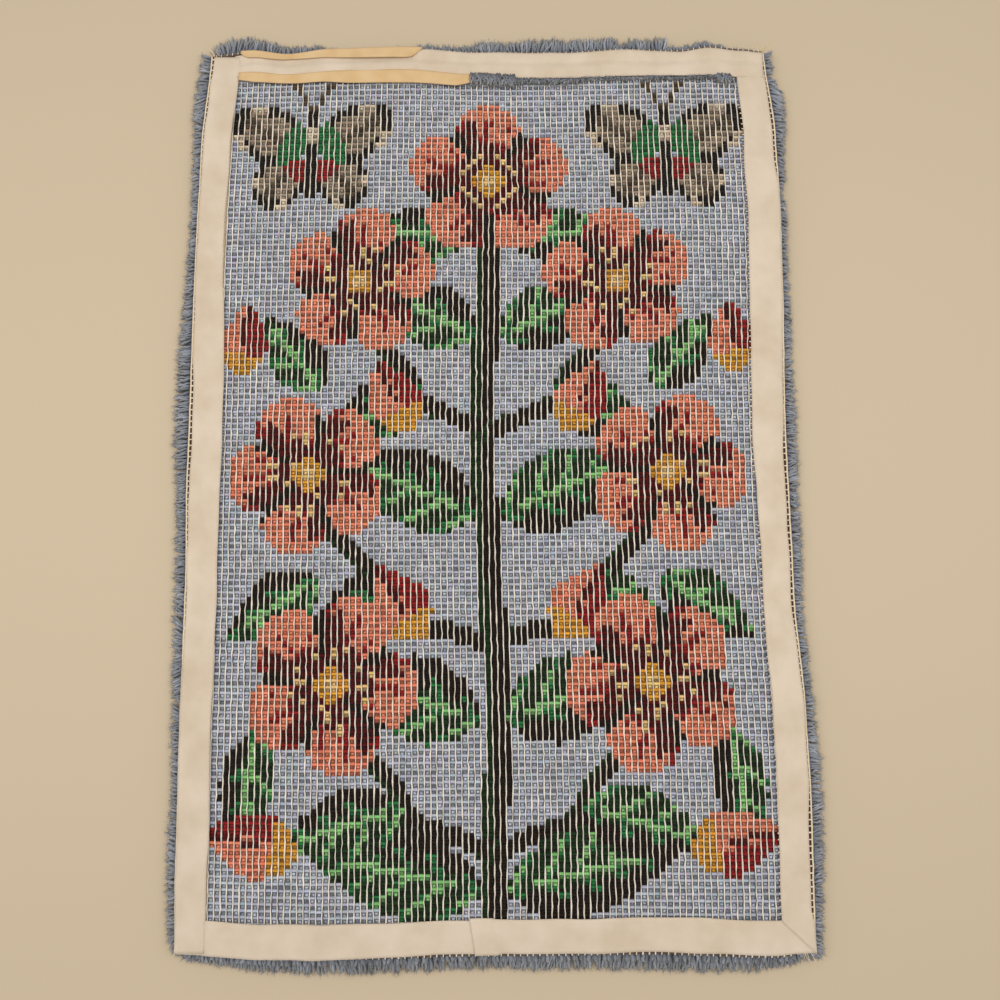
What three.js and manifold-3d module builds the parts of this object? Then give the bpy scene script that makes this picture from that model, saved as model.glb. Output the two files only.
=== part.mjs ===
// Latch hook wall hanging, lying face down: the knotted canvas with its turned hem, the cotton binding
// tape on the back, two tan strips along the top and the yarn pile underneath with locks at its rim.
// Millimetres, +Z up from the surface it lies on, +Y towards the top edge of the hanging.
import * as THREE from "three";
import { mergeVertices } from "three/addons/utils/BufferGeometryUtils.js";
import Module from "manifold-3d";

const wasm = await Module();
wasm.setup();

// Driving dimensions: a canvas of 3.75 holes to the inch, 100 holes wide and 150 high.
const INCH = 25.4;
const HOLES_PER_INCH = 3.75;
const HOLES_WIDE = 100;
const HOLES_HIGH = 150;
const PITCH = INCH / HOLES_PER_INCH;
const HALF_WIDTH = (HOLES_WIDE * PITCH) / 2;
const HALF_HEIGHT = (HOLES_HIGH * PITCH) / 2;

// Heights of the layers above the surface, with the clearance that lies between two pieces.
const CLEARANCE = 0.3;
const PILE_HEIGHT = 15;
const CANVAS_THICKNESS = 3;
const HEM_RISE = 1.6;
const TAPE_THICKNESS = 1.1;
const STRIP_THICKNESS = 1;
const CANVAS_BASE = PILE_HEIGHT + CLEARANCE;
const FIELD_TOP = CANVAS_BASE + CANVAS_THICKNESS;
const HEM_TOP = FIELD_TOP + HEM_RISE;
const TAPE_BASE = HEM_TOP + CLEARANCE;
const TAPE_TOP = TAPE_BASE + TAPE_THICKNESS;

// The hem is turned over onto the back, and its fold has a soft edge.
const HEM_WIDTH = 37;
const HEM_STEP = 0.6;
const FOLD_SOFTENING = 2;
const FOLD_DROP = 0.9;
const CANVAS_STATIONS = { across: 19, up: 25 };

// How far each edge bows outwards from a straight one, along its share from the bottom or the left.
const LEFT_BOW = [
  { share: 0, bow: -12 },
  { share: 0.09, bow: -9.1 },
  { share: 0.24, bow: -6.6 },
  { share: 0.37, bow: -5.9 },
  { share: 0.5, bow: -2 },
  { share: 0.75, bow: 0 },
  { share: 0.88, bow: -0.9 },
  { share: 1, bow: -8.1 },
];
const RIGHT_BOW = [
  { share: 0, bow: 6.9 },
  { share: 0.16, bow: 8.9 },
  { share: 0.24, bow: 7.2 },
  { share: 0.37, bow: 0 },
  { share: 0.55, bow: -1.5 },
  { share: 0.72, bow: 2.4 },
  { share: 0.8, bow: 3.5 },
  { share: 0.89, bow: 1.5 },
  { share: 1, bow: -8.7 },
];
const TOP_BOW = [
  { share: 0, bow: -2.5 },
  { share: 0.08, bow: 3.5 },
  { share: 0.14, bow: -1 },
  { share: 0.22, bow: 4 },
  { share: 0.36, bow: 7 },
  { share: 0.48, bow: 2.5 },
  { share: 0.63, bow: 2.3 },
  { share: 0.74, bow: 6.4 },
  { share: 0.836, bow: 4.6 },
  { share: 0.9, bow: 10 },
  { share: 0.955, bow: 6.5 },
  { share: 1, bow: 3.2 },
];
const BOTTOM_BOW = [
  { share: 0, bow: 1 },
  { share: 0.16, bow: 6.8 },
  { share: 0.3, bow: 5.2 },
  { share: 0.46, bow: 2.2 },
  { share: 0.75, bow: 0.4 },
  { share: 0.93, bow: 3.5 },
  { share: 1, bow: -0.4 },
];

// The pile: lumps of leaning tufts, flat where they press on the surface, and locks round the rim.
const LUMPS_WIDE = 8;
const LUMPS_HIGH = 12;
const CELLS_PER_LUMP = 3;
const VALLEY_DEPTH = { least: 1.6, most: 3.5 };
const LUMP_WANDER = 9;
const TRIM_HEIGHT = 2;
const PILE_INSET = 1.5;
const LOCKS_UP_A_SIDE = 69;
const LOCKS_ALONG_AN_END = 46;
const LOCK_SIDES = 3;
const LOCK_ROOT_DEPTH = 5;
const LOCK_ROOT_HEIGHT = 9.2;
const LOCK_TIP_HEIGHT = 5;
const LOCK_TIP_SPREAD = 3;
const LOCK_ROOT_SIZE = { wide: 11, high: 9 };
const LOCK_TIP_SIZE = { wide: 6, high: 4 };
const LOCK_SWAY = 0.22;
const LOCK_UNEVEN = 0.3;
const CORNER_FAN = 34;
const CORNER_LEAN = 0.8;

// How far the rim's locks reach out past the fold, along each edge.
const RIM_REACH = {
  left: [
    { share: 0, reach: 13.5 },
    { share: 0.1, reach: 13.5 },
    { share: 0.17, reach: 11.5 },
    { share: 0.24, reach: 16.5 },
    { share: 0.37, reach: 18 },
    { share: 0.48, reach: 16 },
    { share: 0.54, reach: 22.5 },
    { share: 0.62, reach: 21.5 },
    { share: 0.73, reach: 18 },
    { share: 0.78, reach: 13 },
    { share: 0.88, reach: 14 },
    { share: 0.93, reach: 17 },
    { share: 1, reach: 16 },
  ],
  right: [
    { share: 0, reach: 12.5 },
    { share: 0.09, reach: 17 },
    { share: 0.17, reach: 17 },
    { share: 0.3, reach: 11.5 },
    { share: 0.44, reach: 15 },
    { share: 0.56, reach: 16 },
    { share: 0.63, reach: 12.5 },
    { share: 0.75, reach: 9.5 },
    { share: 0.85, reach: 11 },
    { share: 0.916, reach: 17 },
    { share: 0.95, reach: 13 },
    { share: 1, reach: 11 },
  ],
  bottom: [
    { share: 0, reach: 10 },
    { share: 0.12, reach: 15 },
    { share: 0.25, reach: 17 },
    { share: 0.45, reach: 15 },
    { share: 0.6, reach: 17 },
    { share: 0.85, reach: 21 },
    { share: 0.95, reach: 15 },
    { share: 1, reach: 10 },
  ],
  top: [
    { share: 0, reach: 7 },
    { share: 0.02, reach: 12 },
    { share: 0.03, reach: 27 },
    { share: 0.06, reach: 28 },
    { share: 0.1, reach: 22 },
    { share: 0.16, reach: 19 },
    { share: 0.2, reach: 13 },
    { share: 0.22, reach: 9 },
    { share: 0.36, reach: 9 },
    { share: 0.38, reach: 14 },
    { share: 0.47, reach: 17 },
    { share: 0.5, reach: 24 },
    { share: 0.72, reach: 25 },
    { share: 0.74, reach: 17 },
    { share: 0.8, reach: 24 },
    { share: 0.83, reach: 13 },
    { share: 0.89, reach: 15 },
    { share: 0.93, reach: 8 },
    { share: 1, reach: 7 },
  ],
};

// The binding tape in the lengths that it was cut to. A length runs along one edge between two ends, and
// a lapped one starts on top of the length that it meets. Slants are how far an end is cut askew along the
// edge for each millimetre inwards: the two lengths at the bottom right meet in a mitre.
const TAPES = [
  { name: "binding_left", edge: "left", from: 2, to: 1012, outer: 3, inner: 36 },
  {
    name: "binding_right",
    edge: "right",
    from: 0.3,
    to: 983,
    outer: 3.2,
    inner: 36,
    slantFrom: 0.92,
    slantTo: 0.09,
  },
  { name: "binding_top", edge: "top", from: 37.3, to: 675, outer: 2.2, inner: 31.5 },
  { name: "binding_bottom_left", edge: "bottom", from: 36.9, to: 338, outer: 2, inner: 35.5 },
  {
    name: "binding_bottom_right",
    edge: "bottom",
    from: 316,
    to: 2 * HALF_WIDTH - 0.3,
    outer: 2,
    inner: 36,
    slantTo: -1,
    lapped: true,
  },
];
const TAPE_STATION = 28;
const LAP_LENGTH = 24;
const LAP_RAMP = 5;
const LAP_RISE = TAPE_THICKNESS + CLEARANCE;
const TAPE_CELLS_ACROSS = 2;
const TAPE_EDGE_WANDER = 1.1;

// Soft ridges across a tape, where it was eased or creased: place along the edge, height and half width.
const TAPE_RIDGES = {
  binding_left: [
    { along: 775, height: 0.7, half: 14 },
    { along: 930, height: 0.6, half: 20 },
    { along: 205, height: 0.5, half: 24 },
  ],
  binding_right: [
    { along: 470, height: 0.6, half: 22 },
    { along: 700, height: 0.5, half: 26 },
  ],
  binding_top: [{ along: 420, height: 0.6, half: 20 }],
  binding_bottom_left: [{ along: 150, height: 0.6, half: 18 }],
  binding_bottom_right: [{ along: 560, height: 0.5, half: 24 }],
};

// Two tan strips along the left of the top edge. Each row is a place along the edge with the insets of
// the strip's outer and inner sides there; the ends are cut at a slant.
const STRIP_BASE = TAPE_TOP + CLEARANCE;
const UPPER_STRIP = [
  { along: 40, outer: -1.5, inner: 1.5 },
  { along: 52, outer: -1, inner: 9.6 },
  { along: 100, outer: 1.5, inner: 9 },
  { along: 140, outer: 0, inner: 10.8 },
  { along: 190, outer: -0.8, inner: 12.6 },
  { along: 238, outer: -0.2, inner: 14 },
  { along: 247, outer: 0, inner: 13 },
  { along: 259, outer: 0.5, inner: 2.2 },
];
const LOWER_STRIP = [
  { along: 39, outer: 28.5, inner: 38.6 },
  { along: 56, outer: 29, inner: 41.8 },
  { along: 92, outer: 27.6, inner: 38.8 },
  { along: 137, outer: 28.6, inner: 40.8 },
  { along: 172, outer: 27.3, inner: 43.6 },
  { along: 235, outer: 29, inner: 45.5 },
  { along: 300, outer: 31, inner: 46 },
  { along: 318, outer: 31, inner: 41.5 },
];
const STRIP_CELLS_ACROSS = 4;
const LOWER_STRIP_SAG = 1.1;

// What each kind of piece is made of.
const FINISHES = {
  yarn: { color: 0x7c8aa8, roughness: 0.95, metalness: 0 },
  knottedCanvas: { color: 0x9196a2, roughness: 0.95, metalness: 0 },
  cottonTape: { color: 0xe2d6c0, roughness: 0.9, metalness: 0 },
  tanStrip: { color: 0xd9b27c, roughness: 0.7, metalness: 0 },
};

// What is uneven from one piece to the next, each with draws of its own.
const UNEVEN = ["lumpAcross", "lumpUp", "valley", "reach", "sway", "tip", "outerEdge", "innerEdge"];

// A smooth value between the rows of a table with a share column.
function read(table, share, column) {
  const next = table.findIndex((row) => row.share >= share);
  if (next <= 0) return table[next === 0 ? 0 : table.length - 1][column];
  const [from, to] = [table[next - 1], table[next]];
  const t = (share - from.share) / (to.share - from.share);
  return THREE.MathUtils.lerp(from[column], to[column], t * t * (3 - 2 * t));
}

// A repeatable number from 0 to 1 for the count-th piece and what is uneven about it.
function uneven(count, what) {
  return THREE.MathUtils.seededRandom(count * UNEVEN.length + UNEVEN.indexOf(what));
}

// The place on the lying cloth at a share across from the left and a share up from the bottom.
function placeAt(across, up) {
  const left = -HALF_WIDTH - read(LEFT_BOW, up, "bow");
  const right = HALF_WIDTH + read(RIGHT_BOW, up, "bow");
  const bottom = -HALF_HEIGHT - read(BOTTOM_BOW, across, "bow");
  const top = HALF_HEIGHT + read(TOP_BOW, across, "bow");
  return new THREE.Vector2(
    THREE.MathUtils.lerp(left, right, across),
    THREE.MathUtils.lerp(bottom, top, up),
  );
}

// Each edge of the cloth: its length, the place of its fold at a share along it, and the way in from it.
const EDGES = {
  left: { length: 2 * HALF_HEIGHT, fold: (along) => placeAt(0, along), inward: [1, 0] },
  right: { length: 2 * HALF_HEIGHT, fold: (along) => placeAt(1, along), inward: [-1, 0] },
  bottom: { length: 2 * HALF_WIDTH, fold: (along) => placeAt(along, 0), inward: [0, 1] },
  top: { length: 2 * HALF_WIDTH, fold: (along) => placeAt(along, 1), inward: [0, -1] },
};

// The place at millimetres along an edge, from its bottom or left end, and millimetres in from its fold.
function placeByEdge(edge, along, inset) {
  const { length, fold, inward } = EDGES[edge];
  return fold(along / length).addScaledVector(new THREE.Vector2(...inward), inset);
}

// The three.js shape with its doubled vertices merged and each one moved by place.
function shaped(geometry, place) {
  geometry.deleteAttribute("normal");
  geometry.deleteAttribute("uv");
  const merged = mergeVertices(geometry, 1e-4);
  const positions = merged.getAttribute("position");
  const point = new THREE.Vector3();
  for (let i = 0; i < positions.count; i++) {
    place(point.fromBufferAttribute(positions, i));
    positions.setXYZ(i, point.x, point.y, point.z);
  }
  return merged;
}

// A closed sheet: a unit box of nu by nv cells whose points go where place(u, v, isTop) says.
function sheet(nu, nv, place) {
  return shaped(new THREE.BoxGeometry(1, 1, 1, nu, nv, 1), (point) => {
    point.copy(place(point.x + 0.5, point.y + 0.5, point.z > 0));
  });
}

// Station number round(share * cells) of a list of stations.
function station(list, share) {
  return list[Math.round(share * (list.length - 1))];
}

// Shares across a length: the fold's soft edge, the hem's inner step and even stations between.
function hemStations(length, between) {
  const border = [0, FOLD_SOFTENING, HEM_WIDTH, HEM_WIDTH + HEM_STEP].map((mm) => mm / length);
  const first = border[border.length - 1];
  const middle = Array.from({ length: between }, (_, i) => {
    return THREE.MathUtils.lerp(first, 1 - first, (i + 1) / (between + 1));
  });
  return [...border, ...middle, ...border.map((share) => 1 - share).reverse()];
}

// The canvas with its hem turned over: one sheet, double in a band along all four edges.
function canvasSheet() {
  const across = hemStations(2 * HALF_WIDTH, CANVAS_STATIONS.across);
  const up = hemStations(2 * HALF_HEIGHT, CANVAS_STATIONS.up);
  return sheet(across.length - 1, up.length - 1, (u, v, isTop) => {
    const [a, b] = [station(across, u), station(up, v)];
    const place = placeAt(a, b);
    const inset = Math.min(
      Math.min(a, 1 - a) * 2 * HALF_WIDTH,
      Math.min(b, 1 - b) * 2 * HALF_HEIGHT,
    );
    const onHem = inset < HEM_WIDTH + HEM_STEP / 2;
    const drop = inset < FOLD_SOFTENING / 2 ? FOLD_DROP : 0;
    const top = (onHem ? HEM_TOP : FIELD_TOP) - drop;
    return new THREE.Vector3(place.x, place.y, isTop ? top : CANVAS_BASE);
  });
}

// The pile's body before it is cut level: lumps below, with crowns that lie on the surface and open valleys.
function pileBody() {
  const [nu, nv] = [LUMPS_WIDE * CELLS_PER_LUMP, LUMPS_HIGH * CELLS_PER_LUMP];
  return sheet(nu, nv, (u, v, isTop) => {
    const [i, j] = [Math.round(u * nu), Math.round(v * nv)];
    const onRim = i === 0 || j === 0 || i === nu || j === nv;
    const inset = PILE_INSET / (2 * HALF_WIDTH);
    const place = placeAt(
      THREE.MathUtils.lerp(inset, 1 - inset, u),
      THREE.MathUtils.lerp(inset, 1 - inset, v),
    );
    if (isTop) return new THREE.Vector3(place.x, place.y, PILE_HEIGHT + TRIM_HEIGHT / 2);
    const count = i * (nv + 1) + j;
    const inValley = i % CELLS_PER_LUMP === 0 || j % CELLS_PER_LUMP === 0;
    const wander = onRim ? 0 : LUMP_WANDER;
    return new THREE.Vector3(
      place.x + wander * (uneven(count, "lumpAcross") - 0.5),
      place.y + wander * (uneven(count, "lumpUp") - 0.5),
      inValley ? THREE.MathUtils.lerp(VALLEY_DEPTH.least, VALLEY_DEPTH.most, uneven(count, "valley")) : 0,
    );
  });
}

// One lock of yarn: three sides, the flat one down, rooted in the pile's wall and drooping to a thin tip.
function rimLock(edge, along, count) {
  const { length, inward } = EDGES[edge];
  const outward = new THREE.Vector2(...inward).negate();
  const sideways = new THREE.Vector2(Math.abs(inward[1]), Math.abs(inward[0]));
  const root = placeByEdge(edge, along, PILE_INSET);
  const reach =
    PILE_INSET +
    read(RIM_REACH[edge], along / length, "reach") * (1 - LOCK_UNEVEN * uneven(count, "reach"));
  const toStart = Math.max(0, 1 - along / CORNER_FAN);
  const toEnd = Math.max(0, 1 - (length - along) / CORNER_FAN);
  const lean = CORNER_LEAN * (toEnd - toStart) + LOCK_SWAY * (uneven(count, "sway") - 0.5);
  const tipHeight = LOCK_TIP_HEIGHT + LOCK_TIP_SPREAD * (uneven(count, "tip") - 0.5);
  const radius = 1 / Math.sqrt(LOCK_SIDES);
  const blank = new THREE.CylinderGeometry(radius, radius, 1, LOCK_SIDES, 2);
  return shaped(blank, (point) => {
    const share = point.y + 0.5;
    const out = THREE.MathUtils.lerp(-LOCK_ROOT_DEPTH, reach, share);
    const wide = THREE.MathUtils.lerp(LOCK_ROOT_SIZE.wide, LOCK_TIP_SIZE.wide, share);
    const high = THREE.MathUtils.lerp(LOCK_ROOT_SIZE.high, LOCK_TIP_SIZE.high, share);
    const height = THREE.MathUtils.lerp(LOCK_ROOT_HEIGHT, tipHeight, share * share);
    const turn = Math.sign(sideways.x * outward.y - sideways.y * outward.x);
    const shift = Math.max(0, out) * lean + turn * point.x * wide;
    point.set(
      root.x + outward.x * out + sideways.x * shift,
      root.y + outward.y * out + sideways.y * shift,
      height + point.z * high,
    );
  });
}

// A closed geometry as a solid that can be joined.
function solid(geometry) {
  return new wasm.Manifold(
    new wasm.Mesh({
      numProp: 3,
      vertProperties: new Float32Array(geometry.getAttribute("position").array),
      triVerts: new Uint32Array(geometry.index.array),
    }),
  );
}

// A joined solid as a geometry.
function geometryOf(joined) {
  const { vertProperties, triVerts } = joined.getMesh();
  return new THREE.BufferGeometry()
    .setAttribute("position", new THREE.BufferAttribute(vertProperties, 3))
    .setIndex(new THREE.BufferAttribute(triVerts, 1));
}

// What is cut off above the pile, so that it is level under the canvas.
function trimAbovePile() {
  const trim = new THREE.BoxGeometry(3 * HALF_WIDTH, 3 * HALF_HEIGHT, TRIM_HEIGHT);
  return shaped(trim, (point) => point.setZ(point.z + PILE_HEIGHT + TRIM_HEIGHT / 2));
}

// The pile's body, cut level, with its rim of locks.
function pile() {
  let joined = solid(pileBody()).subtract(solid(trimAbovePile()));
  let count = 0;
  for (const edge of Object.keys(EDGES)) {
    const { length } = EDGES[edge];
    const locks = length > 2 * HALF_WIDTH ? LOCKS_UP_A_SIDE : LOCKS_ALONG_AN_END;
    for (let i = 0; i < locks; i++) {
      const along = ((i + 0.5) / locks) * length;
      joined = joined.add(solid(rimLock(edge, along, count)));
      count += 1;
    }
  }
  return geometryOf(joined);
}

// A length of tape on the hem: its edges wander a little and its ridges are raised.
function tapeSheet(tape) {
  const cells = Math.round((tape.to - tape.from) / TAPE_STATION);
  const ends = tape.lapped ? [0, LAP_LENGTH, LAP_LENGTH + LAP_RAMP] : [0];
  const start = tape.from + ends[ends.length - 1];
  const even = Array.from({ length: cells }, (_, i) => THREE.MathUtils.lerp(start, tape.to, (i + 1) / cells));
  const stations = [...ends.map((mm) => tape.from + mm), ...even];
  const alongX = EDGES[tape.edge].inward[0] === 0;
  const nearFirst = tape.edge === "left" || tape.edge === "bottom";
  const place = (along, across, isTop) => {
    const count = Math.round(along) + TAPES.indexOf(tape) * Math.round(2 * HALF_HEIGHT);
    const outer = tape.outer + TAPE_EDGE_WANDER * (uneven(count, "outerEdge") - 0.5);
    const inner = tape.inner + TAPE_EDGE_WANDER * (uneven(count, "innerEdge") - 0.5);
    const inset = THREE.MathUtils.lerp(outer, inner, nearFirst ? across : 1 - across);
    const share = (along - tape.from) / (tape.to - tape.from);
    const askew = THREE.MathUtils.lerp(tape.slantFrom ?? 0, tape.slantTo ?? 0, share) * inset;
    const spot = placeByEdge(tape.edge, along + askew, inset);
    const lift = tape.lapped && along < start ? LAP_RISE : 0;
    const ridge = TAPE_RIDGES[tape.name].reduce((sum, { along: middle, height, half }) => {
      const away = Math.abs(along - middle) / half;
      return sum + (away < 1 ? height * (1 - away * away) : 0);
    }, 0);
    const height = isTop ? TAPE_TOP + lift + ridge : TAPE_BASE + lift;
    return new THREE.Vector3(spot.x, spot.y, height);
  };
  const steps = stations.length - 1;
  return alongX
    ? sheet(steps, TAPE_CELLS_ACROSS, (u, v, isTop) => place(station(stations, u), v, isTop))
    : sheet(TAPE_CELLS_ACROSS, steps, (u, v, isTop) => place(station(stations, v), u, isTop));
}

// A strip from its rows; its free inner side, past the binding, sags towards the canvas.
function stripSheet(rows, sag) {
  return sheet(rows.length - 1, STRIP_CELLS_ACROSS, (u, v, isTop) => {
    const row = station(rows, u);
    const share = 1 - v;
    const inset = THREE.MathUtils.lerp(row.outer, row.inner, share);
    const spot = placeByEdge("top", row.along, inset);
    const low = STRIP_BASE - sag * Math.max(0, 2 * share - 1);
    return new THREE.Vector3(spot.x, spot.y, isTop ? low + STRIP_THICKNESS : low);
  });
}

const pieces = new THREE.Group();

// Adds a piece of the hanging under its name.
function add(name, geometry, finish) {
  const mesh = new THREE.Mesh(geometry, new THREE.MeshStandardMaterial(finish));
  mesh.name = name;
  pieces.add(mesh);
}

add("pile", pile(), FINISHES.yarn);
add("canvas", canvasSheet(), FINISHES.knottedCanvas);
TAPES.forEach((tape) => add(tape.name, tapeSheet(tape), FINISHES.cottonTape));
add("strip_upper", stripSheet(UPPER_STRIP, 0), FINISHES.tanStrip);
add("strip_lower", stripSheet(LOWER_STRIP, LOWER_STRIP_SAG), FINISHES.tanStrip);

// The origin is under the middle of the whole hanging, on the surface that it lies on.
const reach = new THREE.Box3().setFromObject(pieces);
const middle = reach.getCenter(new THREE.Vector3());
pieces.position.set(-middle.x, -middle.y, -reach.min.z);

const hanging = new THREE.Group();
hanging.add(pieces);

export default hanging;
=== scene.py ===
"""A latch hook wall hanging that lies face down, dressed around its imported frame.

The back of the work shows: rows of yarn knots between cream canvas threads, a cotton binding tape over
the turned hem, two tan strips along the top and the fuzzy locks of the pile that splay out round the rim.
"""

from __future__ import annotations

import logging
import math
from collections.abc import Callable, Sequence
from dataclasses import dataclass, field
from enum import Enum

import bmesh
import bpy
import numpy as np
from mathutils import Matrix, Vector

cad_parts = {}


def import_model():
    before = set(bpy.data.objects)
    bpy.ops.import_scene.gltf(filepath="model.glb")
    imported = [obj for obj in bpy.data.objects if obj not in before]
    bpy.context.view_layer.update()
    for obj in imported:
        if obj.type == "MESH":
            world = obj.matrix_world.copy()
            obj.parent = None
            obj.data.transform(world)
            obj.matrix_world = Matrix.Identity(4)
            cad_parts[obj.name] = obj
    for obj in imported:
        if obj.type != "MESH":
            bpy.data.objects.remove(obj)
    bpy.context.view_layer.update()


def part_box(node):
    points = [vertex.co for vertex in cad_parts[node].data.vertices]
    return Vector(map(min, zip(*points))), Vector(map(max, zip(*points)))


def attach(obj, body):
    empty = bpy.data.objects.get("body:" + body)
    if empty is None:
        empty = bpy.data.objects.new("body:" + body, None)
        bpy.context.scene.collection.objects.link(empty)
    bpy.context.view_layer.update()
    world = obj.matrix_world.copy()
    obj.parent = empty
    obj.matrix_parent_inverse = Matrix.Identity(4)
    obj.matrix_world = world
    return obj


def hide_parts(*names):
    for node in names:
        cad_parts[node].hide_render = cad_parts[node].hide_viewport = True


LOG = logging.getLogger("hanging")
MM = 0.001
SEED = 11
BODY = "root"
COLOUR = "yarn_colour"
UV_MAP = "UVMap"
TINY = 1e-12
Place = Callable[[np.ndarray, np.ndarray], np.ndarray]


class Colour(Enum):
    """A named sRGB colour."""

    @property
    def tone(self) -> np.ndarray:
        """The colour's linear values."""
        return linear(self.value)


class Yarn(Colour):
    """The yarns of the design."""

    SKY = (189, 197, 216)
    CORAL = (240, 138, 108)
    CRIMSON = (152, 28, 30)
    DARK_RED = (86, 8, 12)
    BARK = (32, 20, 13)
    PINE = (24, 54, 24)
    EMERALD = (38, 122, 68)
    MINT = (136, 206, 124)
    GOLD = (226, 160, 50)
    STRAW = (246, 206, 136)
    TAUPE = (162, 144, 124)
    UMBER = (92, 78, 62)
    BLACK = (30, 23, 20)
    CREAM = (228, 210, 186)


class Thread(Colour):
    """What isn't design yarn: canvas threads, the rim's yarn and the shade under the hem."""

    CANVAS = (248, 238, 224)
    WARP = (246, 238, 225)
    CORD = (234, 215, 188)
    YELLOWED = (222, 190, 128)
    RIM = (150, 156, 167)
    COVERED = (226, 208, 182)
    SHADE = (70, 44, 24)


class Side(Enum):
    """An edge of the cloth, with the way inwards from it."""

    LEFT = (1, 0)
    RIGHT = (-1, 0)
    BOTTOM = (0, 1)
    TOP = (0, -1)

    @property
    def inward(self) -> np.ndarray:
        """The unit vector that points into the cloth."""
        return np.array(self.value, float)

    @property
    def upright(self) -> bool:
        """Whether the edge runs up the cloth and not across it."""
        return self.value[0] != 0

    @property
    def far(self) -> float:
        """The edge's share across or up the cloth: 0 at the left and the bottom, 1 at the others."""
        return float(min(self.value) < 0)


class Slot(Enum):
    """The record's material slots."""

    CANVAS = "knotted_canvas"
    YARN = "yarn"
    TAPE = "cotton_tape"
    STRIP = "tan_strip"


class Domain(Enum):
    """What a mesh's colours belong to."""

    POINT = "POINT"
    CORNER = "CORNER"


def linear(colour: Sequence[int]) -> np.ndarray:
    """Turns an sRGB colour into the linear values that Blender works with.

    Args:
        colour: Red, green and blue from 0 to 255.

    Returns:
        The three linear values from 0 to 1.
    """
    share = np.asarray(colour, float) / 255
    return np.where(share <= 0.04045, share / 12.92, ((share + 0.055) / 1.055) ** 2.4)


def smooth_table(shares: Sequence[float], values: Sequence[float], at: np.ndarray) -> np.ndarray:
    """Reads a table smoothly between its rows.

    Args:
        shares: The rows' places, rising.
        values: The rows' values.
        at: Where to read.

    Returns:
        A value for each place.
    """
    shares, values = np.asarray(shares, float), np.asarray(values, float)
    at = np.clip(at, shares[0], shares[-1])
    row = np.clip(np.searchsorted(shares, at) - 1, 0, len(shares) - 2)
    t = (at - shares[row]) / (shares[row + 1] - shares[row])
    return values[row] + (values[row + 1] - values[row]) * t * t * (3 - 2 * t)


def turned(x: np.ndarray, y: np.ndarray, degrees: float) -> tuple[np.ndarray, np.ndarray]:
    """Measures places from a line through the origin.

    Args:
        x: Places across.
        y: Places up.
        degrees: How far the line is turned from the X axis.

    Returns:
        How far along the line the places are, and how far to its left.
    """
    a = math.radians(degrees)
    return x * math.cos(a) + y * math.sin(a), y * math.cos(a) - x * math.sin(a)


@dataclass(frozen=True)
class Levels:
    """Heights of the layers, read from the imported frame."""

    pile_top: float
    hem_top: float
    tape_top: float
    strip_base: float
    hem_rise: float = 1.6 * MM
    tape_thickness: float = 1.1 * MM

    @classmethod
    def from_frame(cls) -> Levels:
        """Reads the heights from the boxes of the CAD nodes.

        Returns:
            The heights.
        """
        tape_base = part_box("binding_left")[0].z
        return cls(
            pile_top=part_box("pile")[1].z,
            hem_top=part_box("canvas")[1].z,
            tape_top=tape_base + cls.tape_thickness,
            strip_base=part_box("strip_upper")[0].z,
        )

    @property
    def field_top(self) -> float:
        """The top of the knotted field inside the hem."""
        return self.hem_top - self.hem_rise


@dataclass(frozen=True)
class Bow:
    """How far an edge bows outwards in millimetres at shares along it."""

    shares: tuple[float, ...]
    out: tuple[float, ...]
    stretch: tuple[float, ...] = (-0.12, -0.08, -0.04, 0, 0.04, 0.08, 0.12)
    fade: float = 18 * MM

    def at(self, share: np.ndarray) -> np.ndarray:
        """The bow in metres at each share along the edge."""
        return smooth_table(self.shares, self.out, share) * MM

    def inside(self, share: np.ndarray, away: np.ndarray) -> np.ndarray:
        """The bow as the cloth takes it up inside the edge, where its short waves die out.

        Args:
            share: Shares along the edge.
            away: Metres from the edge.

        Returns:
            Bows in metres.
        """
        even = sum(self.at(share + step) for step in self.stretch) / len(self.stretch)
        return even + (self.at(share) - even) * np.exp(-np.maximum(away, 0) / self.fade)


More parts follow.
